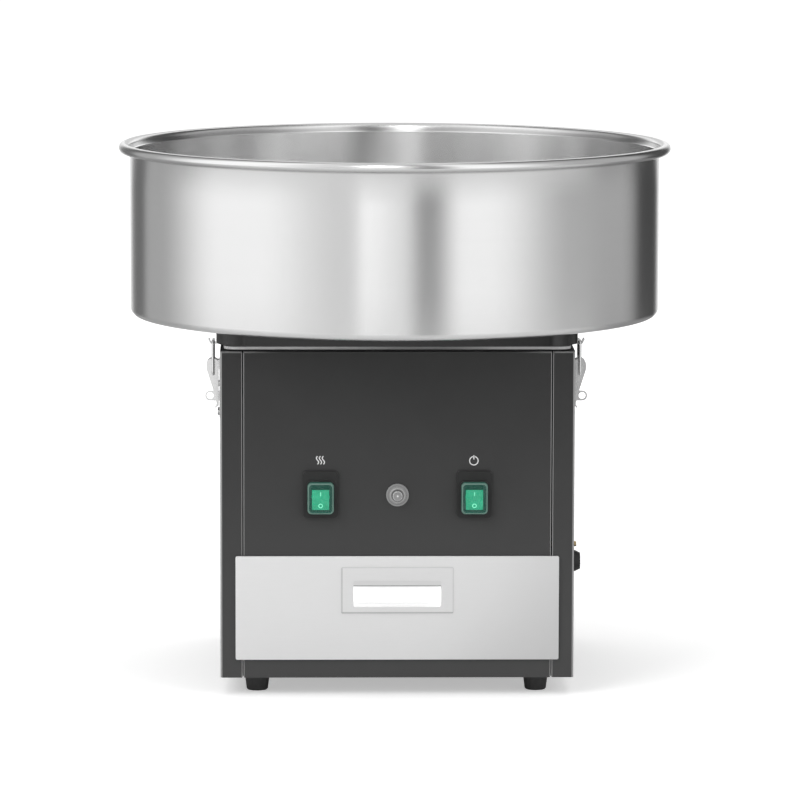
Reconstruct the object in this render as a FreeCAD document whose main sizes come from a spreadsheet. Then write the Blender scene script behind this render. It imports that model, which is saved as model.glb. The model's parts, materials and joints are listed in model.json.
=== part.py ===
import FreeCAD, Part
import math
import os
import re
import Sketcher

# Table-top electric cotton candy machine: a folded steel housing with a drawer,
# a wide spun bowl held on it by two toggle latches, and a heated spinner head
# that a motor turns in the middle of the bowl.
#
# Frame: +X right, -Y front, +Z up.  The origin is on the table, under the
# bowl's axis.  All sizes are in millimetres and live in the Sizes sheet.

doc = FreeCAD.newDocument("cotton_candy_machine")
sheet = doc.addObject("Spreadsheet::Sheet", "Sizes")

SIZES = [
    ("housing_half", 163.0, "half of the square housing's width and depth"),
    ("housing_height", 303.0, "height of the housing's panels"),
    ("foot_height", 16.5, "height of the rubber feet"),
    ("panel_sheet", 1.2, "thickness of the housing's steel sheet"),
    ("bend_radius", 2.4, "outer radius of the housing's folded corners"),
    ("seam_bend", 1.0, "outer radius of the folds beside the front seams"),
    ("front_flange", 20.3, "width of the side panels' front flanges"),
    ("rear_flange", 15.0, "width of the side panels' rear flanges"),
    ("flange_return", 8.0, "depth that a flange folds back into the housing"),
    ("seam_gap", 1.1, "gap between a flange and the front panel"),
    ("pan_lip", 15.0, "height of the base pan's upturned lips"),
    ("vent_half", 45.0, "half length of a cooling slot in the base pan"),
    ("vent_width", 6.0, "width of a cooling slot in the base pan"),
    ("vent_pitch", 14.0, "spacing of the base pan's cooling slots"),
    ("back_gap", 1.0, "gap between the back panel and the side panels"),
    ("screw_inset", 22.0, "outer back panel screws from the panel's ends"),
    ("deck_lip_half", 120.0, "half length of the deck's downward lips"),
    ("deck_lip_height", 12.0, "height of the deck's downward lips"),
    ("deck_gap", 0.1, "gap between the deck and the walls round it"),
    ("deck_hole_margin", 6.0, "deck hole's radius beyond the bearing's"),
    ("foot_inset", 33.7, "foot's axis inside the housing's faces"),
    ("foot_top_radius", 11.7, "foot radius where it meets the base pan"),
    ("foot_bottom_radius", 9.9, "foot radius on the table"),
    ("foot_screw_radius", 2.0, "radius of the screws that hold the feet"),
    ("plate_margin", 3.5, "top plate's edge inside the housing's faces"),
    ("plate_corner", 11.0, "corner radius of the top plate"),
    ("plate_thick", 4.0, "thickness of the top plate"),
    ("plate_lift", 1.6, "height of the top plate's inset foot"),
    ("plate_inset", 3.0, "inset of the top plate's foot"),
    ("frame_reach", 3.5, "frame's sides beyond the housing's faces"),
    ("frame_corner", 27.5, "corner radius of the frame under the bowl"),
    ("frame_height", 12.9, "height of the frame under the bowl"),
    ("frame_wall", 2.0, "wall of the frame under the bowl"),
    ("frame_ledge", 16.0, "width of the frame's lower ledge"),
    ("joint_width", 0.7, "width of the grooves at the frame's joints"),
    ("joint_depth", 0.5, "depth of the grooves at the frame's joints"),
    ("rim_reach", 10.6, "rolled rim's outside beyond the bowl's wall"),
    ("bead_radius", 4.7, "radius of the rolled rim's bead"),
    ("bowl_radius", 249.4, "outer radius of the bowl's wall"),
    ("bowl_wall", 1.0, "sheet thickness of the bowl"),
    ("bowl_height", 162.0, "height of the bowl"),
    ("bowl_corner", 6.5, "outer radius where wall and bottom meet"),
    ("hub_radius", 34.0, "inner radius of the bowl's middle collar"),
    ("hub_height", 22.0, "height of the bowl's middle collar"),
    ("collar_flange", 16.0, "width of the collar's flange in the bowl's bottom"),
    ("bowl_bolt_circle", 110.0, "radius of the circle of bowl bolts"),
    ("bowl_bolt_radius", 3.0, "shank radius of a bowl bolt"),
    ("bowl_bolt_tail", 8.0, "length of a bowl bolt under the bowl"),
    ("bowl_bolt_head", 3.0, "height of a bowl bolt's head"),
    ("bowl_nut_thick", 4.0, "thickness of a bowl bolt's nut"),
    ("drawer_margin", 14.0, "drawer front's ends inside the housing's faces"),
    ("drawer_front_low", 17.2, "drawer front's lower edge above the housing's base"),
    ("drawer_front_high", 96.4, "height of the drawer's front plate"),
    ("drawer_plate", 2.0, "thickness of the drawer's front plate"),
    ("face_gap", 0.4, "gap between the drawer front and the panels"),
    ("opening_strip", 7.6, "front panel's strip beside the drawer's opening"),
    ("tray_space", 41.0, "housing's depth beyond the drawer tray's"),
    ("tray_height", 78.0, "height of the drawer tray's walls"),
    ("tray_sheet", 1.0, "sheet thickness of the drawer tray"),
    ("tray_lift", 23.5, "tray underside above the housing's base"),
    ("opening_gap", 4.0, "clearance of the tray in the front panel's opening"),
    ("slide_gap", 0.3, "running gap between tray and runners"),
    ("runner_side_gap", 1.2, "gap between tray and runner wall"),
    ("runner_ledge", 9.0, "width of the runner's ledge under the tray"),
    ("runner_height", 42.0, "height of a runner's wall"),
    ("runner_sheet", 1.2, "sheet thickness of the runners"),
    ("runner_foot", 16.0, "width of a runner's foot on the base pan"),
    ("runner_set_back", 2.0, "runner's front end behind the front panel's flanges"),
    ("runner_short", 6.0, "runner's length under the tray's"),
    ("pull_half", 51.7, "half width of the drawer pull's frame"),
    ("pull_height", 43.0, "height of the drawer pull's frame"),
    ("pull_low", 43.3, "pull frame's lower edge above the drawer front's"),
    ("pull_proud", 1.4, "height of the pull's frame above the drawer front"),
    ("grip_half", 40.4, "half width of the pull's finger opening"),
    ("grip_height", 24.2, "height of the pull's finger opening"),
    ("grip_low", 6.2, "finger opening's lower edge above the pull frame's"),
    ("grip_depth", 19.0, "depth of the pull's recess"),
    ("grip_lip", 4.4, "height of the lip behind the finger opening's top"),
    ("pull_sheet", 1.0, "wall of the pull's recess"),
    ("lip_inset", 1.5, "lip's front behind the pull frame's"),
    ("cup_gap", 0.3, "gap round the pull's recess in front plate and tray"),
    ("switch_offset", 70.7, "distance of each switch from the middle plane"),
    ("switch_height", 171.1, "middle of the bezels above the housing's base"),
    ("bezel_half", 15.8, "half width of a switch bezel"),
    ("bezel_high", 43.0, "height of a switch bezel"),
    ("bezel_thick", 3.0, "thickness of a switch bezel's flange"),
    ("bezel_corner", 3.0, "corner radius of a switch bezel"),
    ("boot_drop", 2.8, "boot's middle below the bezel's"),
    ("boot_half", 12.1, "half width of the clear boot"),
    ("boot_high", 29.0, "height of the clear boot"),
    ("boot_depth", 9.6, "how far the boot stands out of the bezel"),
    ("boot_wall", 1.0, "wall of the clear boot"),
    ("boot_corner", 4.0, "corner radius of the clear boot"),
    ("rocker_half", 7.9, "half width of a rocker"),
    ("rocker_high", 19.0, "height of a rocker"),
    ("rocker_reach", 11.0, "rocker face in front of its pivot"),
    ("rocker_root", 3.2, "rocker depth behind its pivot"),
    ("rocker_tilt", 8.0, "rocker's tilt from its middle to its off position"),
    ("rocker_dish", 0.9, "depth of the rocker's face at its middle"),
    ("stub_length", 2.0, "length of a rocker's pivot stub"),
    ("pivot_behind", 3.0, "rocker pivot above the panel's face, towards the back"),
    ("pivot_radius", 1.5, "radius of a rocker's pivot stub"),
    ("switch_body_half", 11.6, "half width of a switch's body"),
    ("switch_body_high", 31.0, "height of a switch's body"),
    ("switch_body_depth", 24.0, "depth of a switch's body behind the panel"),
    ("collar_wall", 0.9, "wall of the collar round a boot"),
    ("collar_proud", 1.6, "height of the collar round a boot"),
    ("case_gap", 0.2, "gap round what passes through the front panel"),
    ("boot_gap", 0.05, "gap between a boot and its seat"),
    ("well_gap", 0.5, "gap beside a rocker in its well"),
    ("well_swing", 1.9, "room above and below a rocker for its swing"),
    ("blade_half", 3.2, "half width of a plug-on blade"),
    ("blade_sheet", 0.8, "thickness of a plug-on blade"),
    ("blade_length", 9.0, "length of a plug-on blade outside its case"),
    ("switch_blade_offset", 8.0, "switch blade's distance from the switch's middle"),
    ("fit_gap", 0.05, "running fit between a pivot and its hole"),
    ("breaker_height", 170.3, "breaker's axis above the housing's base"),
    ("washer_radius", 10.4, "radius of the breaker's front washer"),
    ("washer_thick", 1.4, "thickness of the breaker's front washer"),
    ("nut_radius", 7.0, "corner radius of the breaker's ring nut"),
    ("nut_thick", 3.2, "height of the breaker's ring nut"),
    ("button_radius", 4.7, "radius of the reset button"),
    ("button_proud", 4.6, "how far the button stands out of its ring nut"),
    ("button_travel", 3.0, "travel of the reset button"),
    ("button_root", 8.0, "length of the button's stem behind the panel's face"),
    ("neck_inset", 0.8, "breaker neck's radius under the ring nut's"),
    ("neck_length", 8.0, "length of the breaker's neck behind the panel"),
    ("breaker_half", 8.0, "half width of the breaker's case"),
    ("breaker_high", 30.0, "height of the breaker's case"),
    ("breaker_depth", 27.0, "depth of the breaker's case"),
    ("breaker_blade_offset", 7.0, "breaker blade's distance from its axis"),
    ("latch_forward", 100.0, "latches in front of the middle plane"),
    ("latch_plate", 1.2, "thickness of a latch's base plate"),
    ("latch_plate_half", 11.5, "half width of a latch's base plate"),
    ("latch_plate_low", 67.5, "base plate's lower edge below the housing's top"),
    ("latch_plate_high", 54.5, "height of a latch's base plate"),
    ("lever_gap", 0.3, "gap between the lever's head and its base plate"),
    ("lever_head", 5.8, "radius of the lever's head"),
    ("lever_half", 6.8, "half width of the lever"),
    ("lever_sheet", 1.0, "sheet thickness of the lever"),
    ("lever_length", 38.8, "lever's pivot to its lower tip"),
    ("lever_tip", 1.4, "depth of the lever's lower tip"),
    ("lever_knee", 2.9, "depth of the lever beside the padlock eye"),
    ("pin_head", 2.7, "radius of the pivot pin's heads"),
    ("pin_head_thick", 0.7, "thickness of the pivot pin's heads"),
    ("latch_pivot_drop", 18.6, "lever's pivot below the housing's top"),
    ("latch_pin_radius", 1.6, "radius of the lever's pivot pin"),
    ("bail_pivot_drop", 8.5, "bail's pivot below the lever's"),
    ("bail_pivot_inset", 0.3, "bail's pivot inboard of the lever's"),
    ("bail_side", 0.3, "straight wire outside the lever's cheeks"),
    ("wire_radius", 1.5, "radius of the bail's wire"),
    ("latch_screw_radius", 1.6, "shank radius of a latch base's screw"),
    ("panel_screw_radius", 1.8, "shank radius of a back panel's screw"),
    ("bail_bend", 3.2, "radius of the bail's bends"),
    ("hook_seat_drop", 2.1, "bail's bar below the frame's lower edge"),
    ("hook_half", 6.0, "half width of the keeper's hook"),
    ("hook_sheet", 1.0, "sheet thickness of the keeper"),
    ("hook_gap", 0.3, "gap between the bail's bar and the hook's seat"),
    ("eye_drop", 29.7, "padlock eye's axis below the lever's pivot"),
    ("eye_outward", 8.7, "padlock eye's axis in front of the base plate"),
    ("eye_radius", 4.65, "outer radius of the padlock eye"),
    ("eye_hole", 3.25, "radius of the padlock eye's hole"),
    ("eye_half", 0.8, "half thickness of the padlock eye"),
    ("gland_back", 78.0, "cable gland behind the middle plane"),
    ("gland_height", 71.8, "cable gland's axis above the housing's base"),
    ("gland_radius", 11.3, "radius of the cable gland's body"),
    ("gland_length", 18.6, "length of the cable gland outside the housing"),
    ("gland_bore", 4.2, "radius of the cable gland's bore"),
    ("gland_thread", 8.0, "radius of the cable gland's thread"),
    ("gland_inside", 10.0, "length of the gland's thread inside the housing"),
    ("gland_hexagon", 5.0, "thickness of the gland's hexagon"),
    ("gland_shoulder", 0.9, "gland nut's radius under the hexagon's corners"),
    ("gland_dome", 5.2, "length of the gland's domed end"),
    ("gland_nose", 2.5, "narrowing of the gland's domed end"),
    ("locknut_thick", 4.0, "thickness of the gland's locknut"),
    ("stud_inside", 12.0, "length of the earth stud inside the housing"),
    ("stud_outside", 15.0, "length of the earth stud outside the housing"),
    ("stud_nut", 4.0, "thickness of the earth stud's nut"),
    ("stud_lift", 16.5, "earth stud above the cable gland"),
    ("stud_radius", 2.5, "radius of the earth stud"),
    ("motor_radius", 44.0, "radius of the motor"),
    ("motor_height", 96.0, "height of the motor's body"),
    ("motor_bolt_radius", 2.5, "shank radius of a motor bolt"),
    ("motor_bolt_depth", 8.0, "depth of a motor bolt in the motor"),
    ("bell_height", 10.0, "height of the motor's end bell"),
    ("cooling_groove", 3.0, "height of a groove round the motor"),
    ("groove_depth", 1.5, "depth of a groove round the motor"),
    ("bracket_sheet", 2.5, "sheet thickness of the motor bracket"),
    ("bracket_margin", 10.0, "bracket's legs beyond the motor's radius"),
    ("bracket_half", 30.0, "half depth of the motor bracket"),
    ("bracket_flange", 14.0, "width of the bracket's flanges under the deck"),
    ("motor_drop", 62.0, "motor's mounting face below the housing's top"),
    ("shaft_radius", 6.0, "radius of the spinner's shaft"),
    ("shaft_in_motor", 62.0, "length of the shaft inside the motor"),
    ("bearing_radius", 16.0, "outer radius of the shaft's bearing"),
    ("bearing_height", 14.0, "height of the shaft's bearing"),
    ("bearing_flange", 9.0, "width of the bearing's flange"),
    ("bearing_flange_thick", 2.5, "thickness of the bearing's flange"),
    ("head_lift", 36.0, "spinner pan's underside above the bowl's bottom"),
    ("collar_wide", 5.0, "width of the collar under the spinner pan"),
    ("collar_high", 8.0, "height of the collar under the spinner pan"),
    ("shaft_end", 6.0, "length of the shaft above the spinner pan"),
    ("pan_rim", 2.0, "spinner pan's radius beyond the head's"),
    ("pan_rim_high", 9.0, "height of the spinner pan's rim"),
    ("pan_slope", 5.0, "height of the spinner pan's sloped edge"),
    ("pan_slope_wide", 6.0, "sloped edge's start inside the head's radius"),
    ("pan_vent", 5.0, "radius of an air hole in the spinner pan"),
    ("head_radius", 62.0, "radius of the spinner head"),
    ("head_height", 34.0, "height of the spinner's screen band"),
    ("band_lift", 5.2, "screen band's lower edge above the pan's underside"),
    ("spinner_screw_radius", 2.0, "shank radius of a spinner screw"),
    ("head_sheet", 1.2, "sheet thickness of the spinner head"),
    ("screen_slots", 36, "number of slots in the screen band"),
    ("heater_radius", 50.0, "radius of the heating ring's centre line"),
    ("heater_tube", 3.2, "radius of the heating ring's tube"),
    ("heater_lift", 12.0, "heating ring's centre above the spinner pan"),
    ("heater_post", 2.0, "radius of the heating ring's posts"),
    ("slot_width", 3.2, "width of a slot in the screen band"),
    ("slot_margin", 6.0, "band left above and below its slots"),
    ("sugar_mouth", 24.0, "radius of the sugar mouth in the spinner's cap"),
    ("throat_depth", 13.0, "depth of the mouth's throat below the band's top"),
    ("cap_crown", 5.0, "mouth's edge above the band's top"),
    ("cap_skirt", 3.5, "depth of the cap's skirt over the band"),
    ("cap_gap", 0.3, "gap between the cap's skirt and the band"),
    ("spinner_screw_inset", 22.0, "spinner screws inside the head's radius"),
    ("spinner_screw_tail", 2.0, "spinner screw's end under the pan"),
    ("spinner_screw_head", 2.4, "height of a spinner screw's head"),
    ("ring_radius", 15.0, "radius of the slip rings"),
    ("ring_height", 8.0, "height of a slip ring"),
    ("ring_low", 41.5, "lower slip ring's underside below the housing's top"),
    ("ring_pitch", 12.0, "spacing of the slip rings"),
    ("brush_gap", 0.3, "gap between a brush and its ring"),
    ("brush_length", 5.7, "length of a carbon brush"),
    ("brush_width", 8.0, "width of a carbon brush"),
    ("brush_height", 5.0, "height of a carbon brush"),
    ("post_width", 18.0, "width of the brush holder's post"),
    ("post_depth", 8.0, "depth of the brush holder's post"),
    ("post_height", 42.0, "height of the brush holder's post"),
    ("arm_width", 12.0, "width of the brush holder's arms"),
    ("terminal_left", 60.0, "terminal block's left end from the middle plane"),
    ("terminal_margin", 31.0, "terminal block's front before the housing's rear face"),
    ("terminal_long", 44.0, "length of the terminal block's base"),
    ("terminal_deep", 16.0, "depth of the terminal block's base"),
    ("terminal_base", 7.0, "height of the terminal block's base"),
    ("terminal_pole", 12.0, "width of one pole of the terminal block"),
    ("terminal_pitch", 14.5, "spacing of the terminal block's poles"),
    ("louvre_half", 48.0, "half length of a louvre in the back panel"),
    ("louvre_pitch", 17.0, "spacing of the louvres"),
    ("louvre_offset", 70.0, "middle of a column of louvres from the middle plane"),
    ("louvre_top", 62.0, "highest louvre below the housing's top"),
    ("louvre_open", 5.0, "height of a louvre's slot"),
    ("louvre_reach", 9.0, "length of a louvre's hood"),
    ("louvre_sheet", 1.0, "thickness of a louvre's hood"),
]

for line, (alias, value, meaning) in enumerate(SIZES, start=1):
    sheet.set("A%d" % line, meaning)
    sheet.set("B%d" % line, str(value))
    sheet.setAlias("B%d" % line, alias)
doc.recompute()

ALIASES = {alias for alias, value, meaning in SIZES}


def formula(text):
    """The text as a FreeCAD expression, with each alias read from the sheet."""
    def swap(match):
        word = match.group()
        return "Sizes." + word if word in ALIASES else word
    return re.sub(r"[A-Za-z_]+[A-Za-z_0-9]*", swap, str(text))


def size(alias):
    """The sheet's value of one alias."""
    return float(sheet.get(alias))


def tie(item, **links):
    """Bind properties of an object to formulas over the sheet."""
    for name, text in links.items():
        item.setExpression(name, formula(text))
    return item


def place(item, x="0", y="0", z="0"):
    """Bind the place of an object to formulas over the sheet."""
    item.setExpression("Placement.Base.x", formula(x))
    item.setExpression("Placement.Base.y", formula(y))
    item.setExpression("Placement.Base.z", formula(z))
    return item


AXIS_TURN = {
    "X": FreeCAD.Rotation(FreeCAD.Vector(0, 1, 0), 90),
    "Y": FreeCAD.Rotation(FreeCAD.Vector(1, 0, 0), -90),
    "Z": FreeCAD.Rotation(),
}


def box(name, low, sides):
    """A box from its lowest corner and its three sides."""
    item = doc.addObject("Part::Box", name)
    tie(item, Length=sides[0], Width=sides[1], Height=sides[2])
    return place(item, *low)


def slab(name, half_x, half_y, low_z, height):
    """A box centred on the Z axis."""
    return box(name, ("-(%s)" % half_x, "-(%s)" % half_y, low_z),
               ("2 * (%s)" % half_x, "2 * (%s)" % half_y, height))


def rod(name, axis, start, radius, length):
    """A cylinder that runs from a point along +X, +Y or +Z."""
    item = doc.addObject("Part::Cylinder", name)
    tie(item, Radius=radius, Height=length)
    item.Placement.Rotation = AXIS_TURN[axis]
    return place(item, *start)


def taper(name, axis, start, first, second, length):
    """A cone frustum that runs from a point along +X, +Y or +Z."""
    item = doc.addObject("Part::Cone", name)
    tie(item, Radius1=first, Radius2=second, Height=length)
    item.Placement.Rotation = AXIS_TURN[axis]
    return place(item, *start)


def torus(name, centre, ring, tube):
    """A torus about the Z direction."""
    item = doc.addObject("Part::Torus", name)
    tie(item, Radius1=ring, Radius2=tube)
    return place(item, *centre)


def fuse(name, pieces):
    """One solid from overlapping pieces."""
    item = doc.addObject("Part::MultiFuse", name)
    item.Shapes = pieces
    item.Refine = True
    return item


def group(name, pieces):
    """Separate solids of one sub-part, kept together."""
    item = doc.addObject("Part::Compound", name)
    item.Links = pieces
    return item


def cut(name, base, tools):
    """A piece with tools taken out of it."""
    item = doc.addObject("Part::Cut", name)
    item.Base = base
    item.Tool = tools[0] if len(tools) == 1 else fuse(name + "_tools", tools)
    return item


def edges_where(shape, test):
    """Numbers of the straight or round edges whose middle passes a test."""
    found = []
    for number, edge in enumerate(shape.Edges, start=1):
        first, last = edge.ParameterRange
        middle = edge.valueAt((first + last) / 2)
        if test(edge, middle):
            found.append(number)
    return found


def is_along(edge, axis):
    """True for a straight edge along an axis."""
    if not isinstance(edge.Curve, Part.Line):
        return False
    direction = edge.Curve.Direction
    return abs(abs(direction.dot(FreeCAD.Vector(*axis))) - 1) < 1e-6


def round_edges(name, base, radius, test):
    """A copy of a piece with some edges rounded."""
    doc.recompute()
    item = doc.addObject("Part::Fillet", name)
    item.Base = base
    item.Edges = [(number, radius, radius) for number in edges_where(base.Shape, test)]
    return item


def round_upright(name, base, radius):
    """Round the four upright edges of a box."""
    return round_edges(name, base, radius, lambda edge, middle: is_along(edge, (0, 0, 1)))


def round_facing(name, base, radius):
    """Round the four edges of a box that run from front to back."""
    return round_edges(name, base, radius, lambda edge, middle: is_along(edge, (0, 1, 0)))


# ---- sketched bodies -------------------------------------------------------

def start_body(name):
    return doc.addObject("PartDesign::Body", name)


def origin_plane(body, role):
    for item in body.Origin.OriginFeatures:
        if item.Role == role:
            return item
    raise ValueError("no plane " + role)


def start_sketch(body, name, role):
    sketch = body.newObject("Sketcher::SketchObject", name)
    sketch.AttachmentSupport = [(origin_plane(body, role), "")]
    sketch.MapMode = "FlatFace"
    return sketch


def pin_point(sketch, line, end, point, x, y):
    """Tie one point of a sketch to a place given by two formulas."""
    for kind, start, text in (("DistanceX", point.x, x), ("DistanceY", point.y, y)):
        number = sketch.addConstraint(Sketcher.Constraint(kind, -1, 1, line, end, start))
        sketch.setExpression("Constraints[%d]" % number, formula(text))


def outline(sketch, corners):
    """A closed outline through corners, each tied to the sheet by formulas."""
    count = len(corners)
    first = sketch.GeometryCount
    guess = []
    for number in range(count):
        angle = 2 * math.pi * number / count
        guess.append(FreeCAD.Vector(50 * math.cos(angle), 50 * math.sin(angle), 0))
    for number in range(count):
        line = Part.LineSegment(guess[number], guess[(number + 1) % count])
        sketch.addGeometry(line, False)
    for number in range(count):
        following = first + (number + 1) % count
        sketch.addConstraint(
            Sketcher.Constraint("Coincident", first + number, 2, following, 1))
    for number, (x, y) in enumerate(corners):
        pin_point(sketch, first + number, 1, guess[number], x, y)
    return sketch


def rectangle(sketch, low_x, low_y, high_x, high_y):
    return outline(sketch, [(low_x, low_y), (high_x, low_y),
                            (high_x, high_y), (low_x, high_y)])


def circle(sketch, x, y, radius):
    """A circle whose centre and radius are tied to the sheet."""
    centre = FreeCAD.Vector(1, 1, 0)
    number = sketch.addGeometry(
        Part.Circle(centre, FreeCAD.Vector(0, 0, 1), 5), False)
    pin_point(sketch, number, 3, centre, x, y)
    held = sketch.addConstraint(Sketcher.Constraint("Radius", number, 5))
    sketch.setExpression("Constraints[%d]" % held, formula(radius))
    return sketch


def pad(body, sketch, length, middle=True):
    feature = body.newObject("PartDesign::Pad", sketch.Name + "_pad")
    feature.Profile = sketch
    feature.Midplane = middle
    return tie(feature, Length=length)


def pocket(body, sketch, length, middle=True):
    """Cut a sketch out of a body to both sides or behind, and check that it cuts."""
    doc.recompute()
    before = body.Shape.Volume
    feature = body.newObject("PartDesign::Pocket", sketch.Name + "_pocket")
    feature.Profile = sketch
    feature.Midplane = middle
    tie(feature, Length=length)
    doc.recompute()
    if body.Shape.Volume > before - 1e-3:
        raise ValueError(sketch.Name + " cuts nothing")
    return feature


def turn(body, sketch):
    """Revolve a sketch in the XZ plane about the Z axis."""
    feature = body.newObject("PartDesign::Revolution", sketch.Name + "_turn")
    feature.Profile = sketch
    feature.ReferenceAxis = (sketch, ["V_Axis"])
    feature.Angle = 360
    return feature


def fillet(body, radius, test):
    """Round the edges of a body's last feature that pass a test."""
    doc.recompute()
    base = body.Tip
    names = ["Edge%d" % number for number in edges_where(base.Shape, test)]
    feature = body.newObject("PartDesign::Fillet", body.Name + "_round")
    feature.Base = (base, names)
    return tie(feature, Radius=radius)


def polar(body, feature, count):
    """Repeat a feature round the Z axis."""
    doc.recompute()
    item = body.newObject("PartDesign::PolarPattern", feature.Name + "_round_axis")
    item.Originals = [feature]
    item.Axis = (feature.Profile[0], ["V_Axis"])
    item.Angle = 360
    tie(item, Occurrences=count)
    body.Tip = item
    doc.recompute()
    return item


def upright_at(x, y):
    """A test for upright edges at one place of a plan."""
    def test(edge, middle):
        return is_along(edge, (0, 0, 1)) and math.hypot(middle.x - x, middle.y - y) < 0.05
    return test


# ---- levels ---------------------------------------------------------------

TOP = "(foot_height + housing_height)"
PLATE_TOP = "(foot_height + housing_height + plate_lift + plate_thick)"
BOWL_BASE = "(foot_height + housing_height + plate_lift + plate_thick + frame_height)"
INNER = "(housing_half - panel_sheet)"
SIDES = (("left", -1), ("right", 1))
CORNERS = ((-1, -1), (-1, 1), (1, -1), (1, 1))
PLATE_LOW = "(foot_height + housing_height - latch_plate_low)"
FOOT_AT = "%d * (housing_half - foot_inset)"
PLATE_HALF = "(housing_half - plate_margin)"
FRAME_HALF = "(housing_half + frame_reach)"
DRAWER_HALF = "(housing_half - drawer_margin)"
OPENING_HALF = "(housing_half - front_flange - seam_gap - opening_strip)"
TRAY_HALF = "(housing_half - front_flange - seam_gap - opening_strip - opening_gap)"
TRAY_DEPTH = "(2 * housing_half - tray_space)"
THROUGH = "(2 * housing_half + 10)"
LATCH_SCREWS = ((4.8, -6.0), (4.8, 6.0), (31.0, 0.0))
LOUVRE_ROWS = 6
BACK_SCREW_ROWS = 4
LOUVRE_SLOPE = 42


def screw_level(row):
    """Height of a back panel screw, from the lowest row to the highest."""
    steps = BACK_SCREW_ROWS - 1
    return "(foot_height + screw_inset + %d * (housing_height - 2 * screw_inset) / %d)" % (
        row, steps)


# ---- housing --------------------------------------------------------------

def base_pan():
    """The folded bottom, with lips, foot holes and cooling slots."""
    front = "(housing_half - flange_return)"
    depth = "(%s + %s - panel_sheet)" % (front, INNER)
    block = box("pan_block", ("-" + INNER, "-" + front, "foot_height"),
                ("2 * " + INNER, depth, "pan_lip"))
    room = box("pan_room", ("-%s + panel_sheet" % INNER, "-%s + panel_sheet" % front,
               "foot_height + panel_sheet"), ("2 * (%s - panel_sheet)" % INNER,
               depth + " - 2 * panel_sheet", "pan_lip"))
    tools = []
    for x, y in CORNERS:
        tools.append(rod("pan_foot_hole", "Z", (FOOT_AT % x, FOOT_AT % y, "foot_height - 1"),
                     "foot_screw_radius", "panel_sheet + 2"))
    for number in range(-3, 4):
        tools.append(box("pan_slot", ("-vent_half", "%d * vent_pitch - vent_width / 2" % number,
                         "foot_height - 1"), ("2 * vent_half", "vent_width", "panel_sheet + 2")))
    return cut("base_pan", block, [room] + tools)


def side_panel(name, side):
    """A side wall folded round the front and the back."""
    body = start_body(name)
    face = start_sketch(body, name + "_fold", "XY_Plane")
    plan = [
        ("housing_half - front_flange", "-housing_half"),
        ("housing_half", "-housing_half"),
        ("housing_half", "housing_half"),
        ("housing_half - rear_flange", "housing_half"),
        ("housing_half - rear_flange", INNER),
        (INNER, INNER),
        (INNER, "-" + INNER),
        ("housing_half - front_flange + panel_sheet", "-" + INNER),
        ("housing_half - front_flange + panel_sheet", "-housing_half + flange_return"),
        ("housing_half - front_flange", "-housing_half + flange_return"),
    ]
    outline(face, [("%d * (%s)" % (side, x), y) for x, y in plan])
    pad(body, face, "housing_height", middle=False)
    half = size("housing_half")
    fillet(body, "bend_radius", upright_at(side * half, -half))
    fillet(body, "bend_radius", upright_at(side * half, half))
    inner = half - size("panel_sheet")
    fillet(body, "bend_radius - panel_sheet", upright_at(side * inner, -inner))
    fillet(body, "seam_bend", upright_at(side * (half - size("front_flange")), -half))
    holes = start_sketch(body, name + "_holes", "YZ_Plane")
    for row, along in LATCH_SCREWS:
        circle(holes, "-latch_forward + %.1f" % along,
               PLATE_LOW + " - foot_height + %.1f" % row, "latch_screw_radius")
    if side > 0:
        circle(holes, "gland_back", "gland_height", "gland_thread")
        circle(holes, "gland_back", "gland_height + stud_lift", "stud_radius")
    pocket(body, holes, THROUGH)
    rear = start_sketch(body, name + "_rear_holes", "XZ_Plane")
    for row in range(BACK_SCREW_ROWS):
        circle(rear, "%d * (housing_half - rear_flange / 2)" % side,
               "%s - foot_height" % screw_level(row), "panel_screw_radius")
    pocket(body, rear, "housing_half + 10", middle=False)
    return place(body, z="foot_height")


def front_panel():
    """The front sheet, folded back at its sides, with its cut-outs."""
    body = start_body("front_panel")
    plan = start_sketch(body, "front_fold", "XY_Plane")
    edge = "(housing_half - front_flange - seam_gap)"
    outline(plan, [
        ("-" + edge, "-housing_half"),
        (edge, "-housing_half"),
        (edge, "-housing_half + flange_return"),
        (edge + " - panel_sheet", "-housing_half + flange_return"),
        (edge + " - panel_sheet", "-" + INNER),
        ("-%s + panel_sheet" % edge, "-" + INNER),
        ("-%s + panel_sheet" % edge, "-housing_half + flange_return"),
        ("-" + edge, "-housing_half + flange_return"),
    ])
    pad(body, plan, "housing_height", middle=False)
    half = size("housing_half")
    corner = half - size("front_flange") - size("seam_gap")
    for side in (-1, 1):
        fillet(body, "seam_bend", upright_at(side * corner, -half))
    holes = start_sketch(body, "front_holes", "XZ_Plane")
    rectangle(holes, "-" + OPENING_HALF, "tray_lift - opening_gap",
              OPENING_HALF, "tray_lift + tray_height + opening_gap")
    for side in (-1, 1):
        middle = "%d * switch_offset" % side
        height = "switch_height - boot_drop"
        rectangle(holes, middle + " - switch_body_half - case_gap",
                  height + " - switch_body_high / 2 - case_gap",
                  middle + " + switch_body_half + case_gap",
                  height + " + switch_body_high / 2 + case_gap")
    circle(holes, "0", "breaker_height", "nut_radius - neck_inset + case_gap")
    pocket(body, holes, THROUGH)
    return place(body, z="foot_height")


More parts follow.
